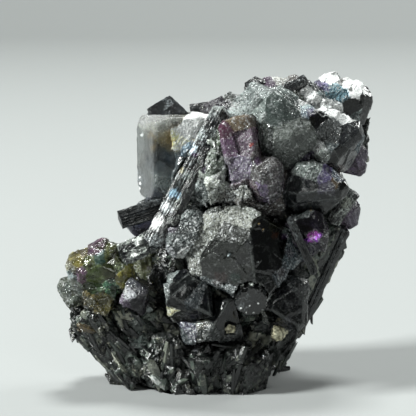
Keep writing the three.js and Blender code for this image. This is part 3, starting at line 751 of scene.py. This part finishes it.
# Sheaves: how many needles cover each, and the way its laths run.
SHEAVES = {
    "sheaf_low_left": (420, (-0.63, -0.04, 0.78)),
    "sheaf_low_front": (360, (0.16, -0.33, 0.93)),
    "sheaf_low_right": (380, (0.49, 0.08, 0.87)),
    "sheaf_top_right": (110, (0.03, 0.05, 1.0)),
    "sheaf_back": (460, (0.31, 0.02, 0.95)),
    "sheaf_back_left": (260, (-0.16, 0.03, 0.99)),
}


def needle_mesh(name, middles, headings, lengths, radii, rng, sides=6):
    """Many needles and shards in one mesh, each with a tone of its own. Each is an uneven polygon carried
    along its heading, a little thinner at its slanted ends, closed there by a fan round a point that
    stands off by part of its radius."""
    count = len(middles)
    helper = np.where(np.abs(headings[:, 2:3]) < 0.9, [[0.0, 0.0, 1.0]], [[1.0, 0.0, 0.0]])
    side = np.cross(headings, helper)
    side /= np.linalg.norm(side, axis=1, keepdims=True)
    across = np.cross(headings, side)
    angle = np.arange(sides) * 2 * np.pi / sides + rng.uniform(0, 6.3, (count, 1))
    reach = radii[:, None] * rng.uniform(0.7, 1.15, (count, sides))
    flat = rng.uniform(0.4, 1, (count, 1))
    ring = (np.cos(angle) * reach)[..., None] * side[:, None]
    ring += (np.sin(angle) * reach * flat)[..., None] * across[:, None]
    shares = np.array([-0.5, -0.2, 0.2, 0.5])
    slim = np.array([0.8, 1.0, 1.0, 0.8])
    slant = rng.uniform(-0.9, 0.9, (count, 2, 1)) * np.cos(angle + rng.uniform(0, 6.3, (count, 1)))[:, None]
    rings = []
    for k in range(4):
        shift = lengths[:, None] * shares[k] + (slant[:, k // 2] * radii[:, None] if k in (0, 3) else 0)
        rings.append(middles[:, None] + ring * slim[k] + shift[..., None] * headings[:, None])
    tip = lengths * 0.5 + radii * rng.uniform(0, 0.5, count)
    poles = [middles - headings * tip[:, None], middles + headings * tip[:, None]]
    points = np.concatenate([np.stack(rings, axis=1).reshape(count, -1, 3), np.stack(poles, axis=1)], axis=1)
    k, i = np.meshgrid(np.arange(3), np.arange(sides), indexing="ij")
    j = (i + 1) % sides
    pattern = np.stack([k * sides + i, k * sides + j, (k + 1) * sides + j], axis=-1).reshape(-1, 3)
    other = np.stack([k * sides + i, (k + 1) * sides + j, (k + 1) * sides + i], axis=-1).reshape(-1, 3)
    i = np.arange(sides)
    j = (i + 1) % sides
    low = np.stack([j, i, np.full(sides, 4 * sides)], axis=-1)
    high = np.stack([3 * sides + i, 3 * sides + j, np.full(sides, 4 * sides + 1)], axis=-1)
    pattern = np.concatenate([pattern, other, low, high])
    faces = (pattern[None] + (np.arange(count) * points.shape[1])[:, None, None]).reshape(-1, 3)
    each = points.shape[1]
    tones = np.repeat(rng.beta(1.5, 2.4, count), each)
    anchor = np.repeat(middles, each, axis=0)
    points = points.reshape(-1, 3)
    points[:, 2] = np.maximum(points[:, 2], 0)
    mesh = mesh_of(name, points, faces)
    keep_values(mesh, "tone", tones)
    keep_schorl_zones(mesh, anchor, 1)
    return mesh


# Single large blades on the front: where each is seen, in mm, and its way, length and radius in mm.
BLADES = {
    "sheaf_low_left": (
        (-11.0, 7.9, (0.1, 0, 1), 5.2, 1.5), (-15.2, 4.6, (0.62, 0, -0.78), 9.0, 0.6),
        (-16.6, 8.0, (0.6, 0, -0.8), 6.0, 0.7), (-19.4, 8.4, (0.45, 0, -0.9), 5.0, 0.9),
        (-21.0, 10.6, (0.9, 0, -0.4), 3.4, 0.9), (-13.4, 9.6, (0.3, 0, -0.95), 4.4, 1.1)),
    "sheaf_low_front": (
        (-6.2, 7.0, (0.3, 0, 0.95), 5.0, 1.2), (1.2, 5.6, (1, 0, 0.2), 6.0, 0.8),
        (5.4, 8.6, (0.9, 0, -0.3), 6.0, 0.9),
        (-1.8, 3.6, (0.8, 0, -0.5), 6.0, 1.0), (9.4, 6.0, (0.95, 0, 0.3), 6.0, 0.9)),
    "sheaf_low_right": (
        (19.6, 12.4, (0.5, 0, 0.86), 5.6, 0.7), (21.6, 18.0, (0.45, 0, 0.9), 6.0, 0.6)),
}


def blades_on(node, points, normals, middles, headings, lengths, radii):
    """Puts the first needles where the blades of that node are seen: at the nearest point of the surface
    that looks to the front."""
    front = np.flatnonzero(normals[:, 1] < -0.25)
    at = seen(points[front])
    for k, (across, up, way, length, radius) in enumerate(BLADES.get(node, ())):
        chosen = front[np.linalg.norm(at - np.array((across, up)) * MM, axis=1).argmin()]
        way = np.array([way]) / np.linalg.norm(way)
        headings[k] = laid_along(way, normals[chosen:chosen + 1], 0.1)[0]
        middles[k] = points[chosen] - normals[chosen] * radius * 0.3 * MM
        lengths[k] = length * MM
        radii[k] = radius * MM


def laid_along(heading, normals, lift):
    """Headings turned to lie along the surface, all but `lift` of the way that they point out of it."""
    out = (heading * normals).sum(axis=1, keepdims=True)
    heading = heading - normals * out * (1 - lift)
    return heading / np.linalg.norm(heading, axis=1, keepdims=True)


def held_in(middles, headings, lengths, low, high):
    """Needles shortened and moved along their heading until both ends lie in the box."""
    with np.errstate(divide="ignore", invalid="ignore"):
        to_low = (low - middles) / headings
        to_high = (high - middles) / headings
    back = np.nanmax(np.minimum(to_low, to_high), axis=1)
    ahead = np.nanmin(np.maximum(to_low, to_high), axis=1)
    start = np.clip(back, -lengths / 2, 0)
    end = np.clip(ahead, 0, lengths / 2)
    return middles + headings * ((start + end) / 2)[:, None], np.maximum(end - start, 0.1 * MM)


def rugged_solid(node, material, spacing, relief, seed):
    """A schorl body's skin: its net moved along its normals by its blocks and by two crossing waves and
    their sharp creases, the fold of a wave at zero, and sunk at its edges."""
    mesh, solid, ends = net_of(node, spacing)
    points = points_of(mesh)
    normals = normals_of(mesh)
    from_edge = edge_distance(points, ends, 1 * MM)
    crease = np.abs(waves(points, 2.2 * MM, seed)) + 0.5 * np.abs(waves(points, 0.9 * MM, seed + 1))
    growth, tone = blocks(points, 1.8 * MM, 0.25, 0.12 * MM, seed + 2)
    sink = 0.2 * MM * np.clip(1 - from_edge / (0.6 * MM), 0, 1) ** 2
    moved = points + normals * (relief * (crease - 0.8) + np.minimum(growth, 0.1 * MM) - sink)[:, None]
    move_points(mesh, moved)
    keep_values(mesh, "tone", tone)
    keep_schorl_zones(mesh, points, seed)
    mesh.materials.append(material)
    new_piece(node + "_skin", mesh, [node], smooth=False)
    return moved, normals


def sheaf(node, count, axis, seed, material, core_material):
    """A sheaf: the solid's own laths, and needles laid along them at points picked on its surface, the
    first of them moved to where its large blades are seen."""
    points, normals = rugged_solid(node, core_material, COARSE_NET, 0.15 * MM, seed)
    rng = np.random.default_rng(seed)
    chosen = rng.integers(0, len(points), count)
    heading = np.array(axis) + rng.normal(scale=0.22, size=(count, 3))
    heading = laid_along(heading, normals[chosen], 0.15)
    radii = rng.gamma(2.2, 0.2 * MM, count).clip(0.12 * MM, 1.0 * MM)
    lengths = radii * rng.uniform(2, 7, count)
    middles = points[chosen] - normals[chosen] * radii[:, None] * 0.45
    blades_on(node, points, normals, middles, heading, lengths, radii)
    low = points.min(axis=0) + radii[:, None]
    high = points.max(axis=0) - radii[:, None]
    middles, lengths = held_in(middles, heading, lengths, low, high)
    mesh = needle_mesh(node + "_needles", middles, heading, lengths, radii, rng)
    mesh.materials.append(material)
    new_piece(node + "_needles", mesh, smooth=False)


# Headings of the needles on each part of the mass: centre of the part and the way they run, in mm.
MASS_GRAIN = (
    ((-12.6, 0, 12.4), (-0.75, 0.1, 0.65)),
    ((-1, 0.5, 4), (0.3, -0.1, 0.85)),
    ((5.6, 1.6, 20), (0.35, 0.1, 0.93)),
    ((13.6, 2.4, 36.6), (0.5, -0.1, 0.86)),
    ((18.4, 2.8, 48), (0.75, 0.25, 0.6)),
    ((1, 3, 37), (-0.1, 0.05, 0.99)),
)


def mass(material, needle_material):
    """The massive schorl with shards bedded in it. Each shard follows the heading of the nearest part
    of the mass, turned by a random lean that is small for most and large for some."""
    points, normals = rugged_solid("schorl_mass", material, COARSE_NET, 0.35 * MM, 60)
    rng = np.random.default_rng(61)
    chosen = rng.integers(0, len(points), MASS_SHARDS)
    at = points[chosen]
    centres = np.array([grain[0] for grain in MASS_GRAIN]) * MM
    ways = np.array([grain[1] for grain in MASS_GRAIN], dtype=float)
    nearest = np.linalg.norm(at[:, None] - centres[None], axis=2).argmin(axis=1)
    lean = np.where(rng.random((MASS_SHARDS, 1)) < 0.6, 1.3, 0.35)
    heading = ways[nearest] + rng.normal(size=(MASS_SHARDS, 3)) * lean
    heading = laid_along(heading, normals[chosen], np.where(rng.random((MASS_SHARDS, 1)) < 0.2, 0.7, 0.15))
    radii = rng.gamma(2.4, 0.27 * MM, MASS_SHARDS).clip(0.15 * MM, 1.4 * MM)
    lengths = radii * rng.uniform(1.3, 4, MASS_SHARDS)
    middles = at - normals[chosen] * radii[:, None] * 0.45
    low = points.min(axis=0) + radii[:, None]
    high = points.max(axis=0) - radii[:, None]
    middles, lengths = held_in(middles, heading, lengths, low, high)
    mesh = needle_mesh("schorl_mass_needles", middles, heading, lengths, radii, rng)
    mesh.materials.append(needle_material)
    new_piece("schorl_mass_needles", mesh, smooth=False)


def chip(node, seed, material):
    """A feldspar chip: its flat breaks, roughened by a short wave."""
    mesh, solid, ends = net_of(node, 0.16 * MM)
    points = points_of(mesh)
    normals = normals_of(mesh)
    relief = 0.16 * MM * waves(points, 0.7 * MM, seed) - 0.1 * MM
    sink = 0.15 * MM * np.clip(1 - edge_distance(points, ends, 1 * MM) / (0.4 * MM), 0, 1) ** 2
    move_points(mesh, points + normals * (relief - 0.04 * MM - sink)[:, None])
    mesh.materials.append(material)
    new_piece(node + "_skin", mesh, [node])


# Materials

def add(tree, kind, sets=None, feeds=None):
    """Adds a node of that kind, with its settings and with its sockets fed by values or by other sockets."""
    made = tree.nodes.new(kind)
    for name, value in (sets or {}).items():
        setattr(made, name, value)
    for name, value in (feeds or {}).items():
        if isinstance(value, bpy.types.NodeSocket):
            tree.links.new(value, made.inputs[name])
        else:
            made.inputs[name].default_value = value
    return made


def fresh_material(name):
    material = bpy.data.materials.new(name)
    material.use_nodes = True
    material.node_tree.nodes.clear()
    return material, material.node_tree


def fill_ramp(ramp, stops):
    """Sets a colour ramp's stops from pairs of place and sRGB hex colour."""
    elements = ramp.color_ramp.elements
    while len(elements) < len(stops):
        elements.new(0.5)
    for element, (place, code) in zip(elements, stops):
        element.position = place
        element.color = linear(code)


def etched_fluorite(name, tints, haze, absorbs, density, through, clearing, seed):
    """Fluorite, grown and then etched. Clear windows are dark and glassy, with thin pale healed cracks.
    Where the etching took hold, pits and hillocks finer than a third of a mm turn the face pale, satin
    and speckled, and single grains of them are painted white as glints, which are painted highlights. Growth
    zones and the listed facet colours, which carry painted light and shade, colour it, and the light that
    goes through loses strength with depth."""
    material, tree = fresh_material(name)
    where = add(tree, "ShaderNodeTexCoord").outputs["Object"]
    at = add(tree, "ShaderNodeMapping", feeds={
        "Vector": where, "Location": (seed * 0.01, 0, 0)}).outputs["Vector"]
    broad = add(tree, "ShaderNodeTexNoise", feeds={
        "Vector": at, "Scale": 1 / (5 * MM), "Detail": 2.0, "Roughness": 0.6,
        "Distortion": 0.6}).outputs["Fac"]
    fine = add(tree, "ShaderNodeTexNoise", feeds={
        "Vector": at, "Scale": 1 / (0.4 * MM), "Detail": 4.0, "Roughness": 0.8}).outputs["Fac"]
    grains = add(tree, "ShaderNodeTexVoronoi", feeds={"Vector": at, "Scale": 1 / (0.3 * MM)})
    frost, share, tone, rim = (
        add(tree, "ShaderNodeAttribute", {"attribute_name": name}).outputs["Fac"]
        for name in ("frost", "zone_share", "tone", "rim"))
    zone = add(tree, "ShaderNodeAttribute", {"attribute_name": "zone"}).outputs["Color"]
    speckled = add(tree, "ShaderNodeMapRange", feeds={
        "Value": fine, "From Min": 0.42, "From Max": 0.58, "To Min": 0.08, "To Max": 1.65}).outputs["Result"]
    etched = add(tree, "ShaderNodeMath", {"operation": "MULTIPLY"}, {0: frost, 1: speckled}).outputs[0]
    veil = add(tree, "ShaderNodeTexNoise", feeds={
        "Vector": at, "Scale": 1 / (4 * MM), "Detail": 1.0, "Distortion": 1.5}).outputs["Fac"]
    off = add(tree, "ShaderNodeMath", {"operation": "SUBTRACT"}, {0: veil, 1: 0.5}).outputs[0]
    gap = add(tree, "ShaderNodeMath", {"operation": "ABSOLUTE"}, {0: off}).outputs[0]
    crack = add(tree, "ShaderNodeMapRange", feeds={
        "Value": gap, "From Max": 0.014, "To Min": 0.28, "To Max": 0.0}).outputs["Result"]
    worn = add(tree, "ShaderNodeMath", {"operation": "MULTIPLY"}, {0: rim, 1: fine}).outputs[0]
    lined = add(tree, "ShaderNodeMath", {"operation": "MULTIPLY_ADD"}, {0: worn, 1: 1.7, 2: crack}).outputs[0]
    amount = add(tree, "ShaderNodeMath", {"operation": "MAXIMUM", "use_clamp": True},
                 {0: etched, 1: lined}).outputs[0]
    tint = add(tree, "ShaderNodeValToRGB", feeds={"Fac": broad})
    fill_ramp(tint, tints)
    deep = add(tree, "ShaderNodeVectorMath", {"operation": "SCALE"},
               {"Vector": zone, "Scale": clearing}).outputs[0]
    body = add(tree, "ShaderNodeMix", {"data_type": "RGBA"}, {
        "Factor": share, "A": tint.outputs["Color"], "B": deep}).outputs["Result"]
    hazed = add(tree, "ShaderNodeMath", {"operation": "MULTIPLY"}, {0: share, 1: 0.85}).outputs[0]
    pale = add(tree, "ShaderNodeMix", {"data_type": "RGBA"}, {
        "Factor": hazed, "A": linear(haze), "B": zone}).outputs["Result"]
    mixed = add(tree, "ShaderNodeMix", {"data_type": "RGBA"}, {
        "Factor": amount, "A": body, "B": pale}).outputs["Result"]
    level = add(tree, "ShaderNodeMapRange", feeds={
        "Value": tone, "To Min": 0.6, "To Max": 1.35}).outputs["Result"]
    toned = add(tree, "ShaderNodeVectorMath", {"operation": "SCALE"},
                {"Vector": mixed, "Scale": level}).outputs[0]
    # Single grains painted white as glints: painted highlights in the colour.
    lone = add(tree, "ShaderNodeSeparateColor", feeds={"Color": grains.outputs["Color"]}).outputs["Red"]
    single = add(tree, "ShaderNodeMapRange", feeds={
        "Value": lone, "From Min": 0.82, "From Max": 0.87}).outputs["Result"]
    glint = add(tree, "ShaderNodeMath", {"operation": "MULTIPLY", "use_clamp": True},
                {0: single, 1: frost}).outputs[0]
    colour = add(tree, "ShaderNodeMix", {"data_type": "RGBA"}, {
        "Factor": glint, "A": toned, "B": linear("#f3f6f7")}).outputs["Result"]
    rough = add(tree, "ShaderNodeMapRange", feeds={
        "Value": amount, "To Min": 0.05, "To Max": 0.42}).outputs["Result"]
    lumps = add(tree, "ShaderNodeMath", {"operation": "MULTIPLY"}, {0: lone, 1: 0.5}).outputs[0]
    height = add(tree, "ShaderNodeMath", {"operation": "ADD"}, {0: lumps, 1: fine}).outputs[0]
    lift = add(tree, "ShaderNodeMath", {"operation": "MULTIPLY"}, {0: height, 1: frost}).outputs[0]
    bump = add(tree, "ShaderNodeBump", feeds={
        "Height": lift, "Strength": 1.0, "Distance": 0.22 * MM}).outputs["Normal"]
    shader = add(tree, "ShaderNodeBsdfPrincipled", feeds={
        "Base Color": colour, "Roughness": rough, "IOR": 1.434,
        "Transmission Weight": through, "Normal": bump})
    depth = add(tree, "ShaderNodeVolumeAbsorption", feeds={"Color": linear(absorbs), "Density": density})
    add(tree, "ShaderNodeOutputMaterial", feeds={
        "Surface": shader.outputs["BSDF"], "Volume": depth.outputs["Volume"]})
    return material


def striated_schorl(name, tones, rough, dust_and_sheen, dust_and_sheen_level, relief=0.5):
    """Black tourmaline, as grown or as broken: glassy, with fine lengthwise ridges that split its gloss
    into streaks, a tone of its own for each shard, and a pale dust of broken crystal in patches; where that
    dust is near white it is partly a painted silvery sheen and painted glints."""
    material, tree = fresh_material(name)
    where = add(tree, "ShaderNodeTexCoord").outputs["Object"]
    grain = add(tree, "ShaderNodeTexNoise", feeds={
        "Vector": where, "Scale": 1 / (0.5 * MM), "Detail": 4.0, "Roughness": 0.75}).outputs["Fac"]
    broad = add(tree, "ShaderNodeTexNoise", feeds={
        "Vector": where, "Scale": 1 / (2.8 * MM), "Detail": 3.0, "Roughness": 0.65}).outputs["Fac"]
    tone = add(tree, "ShaderNodeAttribute", {"attribute_name": "tone"}).outputs["Fac"]
    ramp = add(tree, "ShaderNodeValToRGB", feeds={"Fac": tone})
    fill_ramp(ramp, tones)
    zone = add(tree, "ShaderNodeAttribute", {"attribute_name": "zone"}).outputs["Color"]
    share = add(tree, "ShaderNodeAttribute", {"attribute_name": "zone_share"}).outputs["Fac"]
    patchy = add(tree, "ShaderNodeMapRange", feeds={
        "Value": grain, "From Min": 0.42, "From Max": 0.55, "To Min": 0.25}).outputs["Result"]
    shown = add(tree, "ShaderNodeMath", {"operation": "MULTIPLY"}, {0: share, 1: patchy}).outputs[0]
    # Patches of pale dust; a near-white dust colour makes them a painted sheen as well.
    dust_and_sheen_patches = add(tree, "ShaderNodeMapRange", feeds={
        "Value": broad, "From Min": dust_and_sheen_level, "From Max": dust_and_sheen_level + 0.15}).outputs["Result"]
    speck = add(tree, "ShaderNodeMapRange", feeds={
        "Value": grain, "From Min": 0.45, "From Max": 0.62}).outputs["Result"]
    spread = add(tree, "ShaderNodeMath", {"operation": "MULTIPLY"}, {0: dust_and_sheen_patches, 1: speck}).outputs[0]
    dust_and_sheen_coloured = add(tree, "ShaderNodeMix", {"data_type": "RGBA"}, {
        "Factor": spread, "A": ramp.outputs["Color"], "B": linear(dust_and_sheen)}).outputs["Result"]
    colour = add(tree, "ShaderNodeMix", {"data_type": "RGBA"}, {
        "Factor": shown, "A": dust_and_sheen_coloured, "B": zone}).outputs["Result"]
    gloss = add(tree, "ShaderNodeMapRange", feeds={
        "Value": grain, "From Min": 0.35, "From Max": 0.65, "To Min": rough, "To Max": rough + 0.2})
    bump = add(tree, "ShaderNodeBump", feeds={
        "Height": grain, "Strength": relief, "Distance": 0.15 * MM}).outputs["Normal"]
    shader = add(tree, "ShaderNodeBsdfPrincipled", feeds={
        "Base Color": colour, "Roughness": gloss.outputs["Result"], "IOR": 1.64, "Normal": bump})
    add(tree, "ShaderNodeOutputMaterial", feeds={"Surface": shader.outputs["BSDF"]})
    return material


def cleaved_feldspar():
    """Feldspar, broken along its cleavage: cream, dull, with grey grains."""
    material, tree = fresh_material("cleaved_feldspar")
    where = add(tree, "ShaderNodeTexCoord").outputs["Object"]
    grain = add(tree, "ShaderNodeTexNoise", feeds={
        "Vector": where, "Scale": 1 / (0.8 * MM), "Detail": 4.0}).outputs["Fac"]
    colour = add(tree, "ShaderNodeValToRGB", feeds={"Fac": grain})
    fill_ramp(colour, ((0.35, "#2a2822"), (0.48, "#9a957b"), (0.6, "#cfcab0")))
    bump = add(tree, "ShaderNodeBump", feeds={
        "Height": grain, "Strength": 0.5, "Distance": 0.2 * MM}).outputs["Normal"]
    shader = add(tree, "ShaderNodeBsdfPrincipled", feeds={
        "Base Color": colour.outputs["Color"], "Roughness": 0.6, "IOR": 1.53, "Normal": bump})
    add(tree, "ShaderNodeOutputMaterial", feeds={"Surface": shader.outputs["BSDF"]})
    return material


# Room

def studio():
    """A pale floor that sweeps up behind, a soft light on the left that draws the bright edges, one above,
    a weak one in front, and one for the paper far behind."""
    depth, width, rise = 1.6, 3.0, 1.4
    turn = np.linspace(0, np.pi / 2, 24)
    radius = 0.5
    y = np.concatenate([[-1.2], depth - radius + radius * np.sin(turn), [depth]])
    z = np.concatenate([[0], radius - radius * np.cos(turn), [rise + radius]])
    x = np.array([-width, width])
    grid = np.stack(np.broadcast_arrays(x[None, :], y[:, None], z[:, None]), axis=-1)
    row = np.arange(len(y) - 1)
    faces = np.stack([row * 2, row * 2 + 1, row * 2 + 3, row * 2 + 2], axis=-1)
    mesh = mesh_of("floor", grid.reshape(-1, 3), faces)
    floor = bpy.data.objects.new("floor", mesh)
    mesh.polygons.foreach_set("use_smooth", np.ones(len(mesh.polygons), dtype=bool))
    scene.collection.objects.link(floor)
    material, tree = fresh_material("matt_paper")
    shader = add(tree, "ShaderNodeBsdfPrincipled", feeds={
        "Base Color": linear("#8d8f8f"), "Roughness": 0.9})
    add(tree, "ShaderNodeOutputMaterial", feeds={"Surface": shader.outputs["BSDF"]})
    mesh.materials.append(material)
    sky = bpy.data.worlds.new("soft_sky")
    sky.use_nodes = True
    sky.node_tree.nodes["Background"].inputs["Color"].default_value = linear("#dfe8e3")
    sky.node_tree.nodes["Background"].inputs["Strength"].default_value = 0.12
    scene.world = sky
    lamps = (
        ("left", (-1.1, -0.5, 0.85), 0.32, 50.0),
        ("top", (0.1, 0.45, 1.4), 0.36, 23.0),
        ("front", (0.5, -1.5, 0.7), 0.5, 4.5),
        ("backdrop", (1.2, 1.0, 0.9), 0.6, 17.0),
    )
    for name, place, size, power in lamps:
        light = bpy.data.lights.new(name, "AREA")
        light.size = size
        light.energy = power
        light.color = (0.965, 1.0, 0.975)
        lamp = bpy.data.objects.new(name, light)
        lamp.location = place
        lamp.rotation_mode = "QUATERNION"
        lamp.rotation_quaternion = (Vector((0, 0, 0.03)) - Vector(place)).to_track_quat("-Z", "Y")
        scene.collection.objects.link(lamp)
    scene.view_settings.view_transform = "Standard"


place_camera()
studio()

LOOKS = {
    "smoky": etched_fluorite(
        "etched_smoky_fluorite",
        ((0.32, "#14222a"), (0.44, "#1c1f23"), (0.52, "#28252e"), (0.6, "#3c3350"), (0.68, "#3e3520")),
        "#c3cac6", "#737b82", 240.0, 0.6, 0.25, 1),
    "frosted": etched_fluorite(
        "frosted_grey_fluorite", ((0.35, "#232e34"), (0.5, "#2f3235"), (0.65, "#3a3442")),
        "#c3cac4", "#8a9096", 90.0, 0.45, 0.22, 2),
    "violet": etched_fluorite(
        "etched_violet_fluorite", ((0.35, "#37264e"), (0.5, "#442e50"), (0.65, "#4c3a30")),
        "#b5abbc", "#7a5488", 90.0, 0.7, 0.5, 3),
    "green": etched_fluorite(
        "etched_green_fluorite",
        ((0.35, "#27331f"), (0.46, "#4e5426"), (0.54, "#5c5c32"), (0.6, "#452f4c"), (0.68, "#283a33")),
        "#b0b49e", "#7d875a", 110.0, 0.7, 0.6, 4),
    "clear": etched_fluorite(
        "clear_fluorite", ((0.35, "#8d999f"), (0.5, "#b4b6b0"), (0.6, "#c2ab78"), (0.7, "#5a6684")),
        "#e4e8e8", "#c0c4bd", 25.0, 0.8, 0.9, 5),
}
# The white-and-highlight material: for facets etched white and for painted highlights, the lamp's reflections
# and the glow through the clear crystal.
WHITE_AND_HIGHLIGHT_LOOK = etched_fluorite(
    "etched_white_and_highlight_fluorite", ((0.4, "#b9bfc4"), (0.6, "#d9dde0")), "#f4f6f4", "#c8ccce", 60.0, 0.2, 0.75, 6)
for node, (slot, frosting, seed) in FLUORITE.items():
    etched_crystal(node, slot, frosting, seed, (LOOKS[slot], LOOKS["frosted"], WHITE_AND_HIGHLIGHT_LOOK))

BLACK = ((0.0, "#08090a"), (0.5, "#101214"), (1.0, "#2a2d30"))
GREY_GREEN = ((0.0, "#020303"), (0.35, "#0b0d0d"), (0.55, "#1f2422"), (0.75, "#454d47"), (1.0, "#7f8073"))
glassy = striated_schorl("striated_schorl", BLACK, 0.08, "#6d7274", 0.5)
# The long prism's near-white dust is in part a painted silvery sheen: painted highlights and reflections.
sheened_and_dusted = striated_schorl("sheened_dusted_schorl", BLACK, 0.08, "#cfd6d8", 0.45, 0.8)
BLACKEST = ((0.0, "#020202"), (1.0, "#0b0c0d"))
sparkling = striated_schorl("sparkling_schorl", BLACKEST, 0.05, "#6a6f71", 0.52, 1.0)
felted = striated_schorl("felted_schorl", GREY_GREEN, 0.18, "#7b7d72", 0.54, 1.0)
needles = striated_schorl("schorl_needles", GREY_GREEN, 0.08, "#9a9a8b", 0.54, 1.0)
# The pale dust of this kind is in part crushed crystal and in part painted glints on the twin prism, the left
# knot and the small right prism.
glinting = striated_schorl("splintered_glinting_schorl", BLACK, 0.06, "#bcc2bc", 0.48, 1.0)
PRISM_LOOKS = {
    "schorl_long_prism": sheened_and_dusted,
    "schorl_long_prism_twin": glinting,
    "schorl_front_stub": sparkling,
    "schorl_left_knot": glinting,
    "schorl_right_small": glinting,
}
for node, seed in PRISMS.items():
    striated_prism(node, seed, PRISM_LOOKS.get(node, glassy))
for seed, (node, (count, axis)) in enumerate(SHEAVES.items(), start=70):
    sheaf(node, count, axis, seed, needles, felted)
mass(felted, needles)
feldspar = cleaved_feldspar()
chip("feldspar_chip_right", 91, feldspar)
chip("feldspar_chip_front", 92, feldspar)
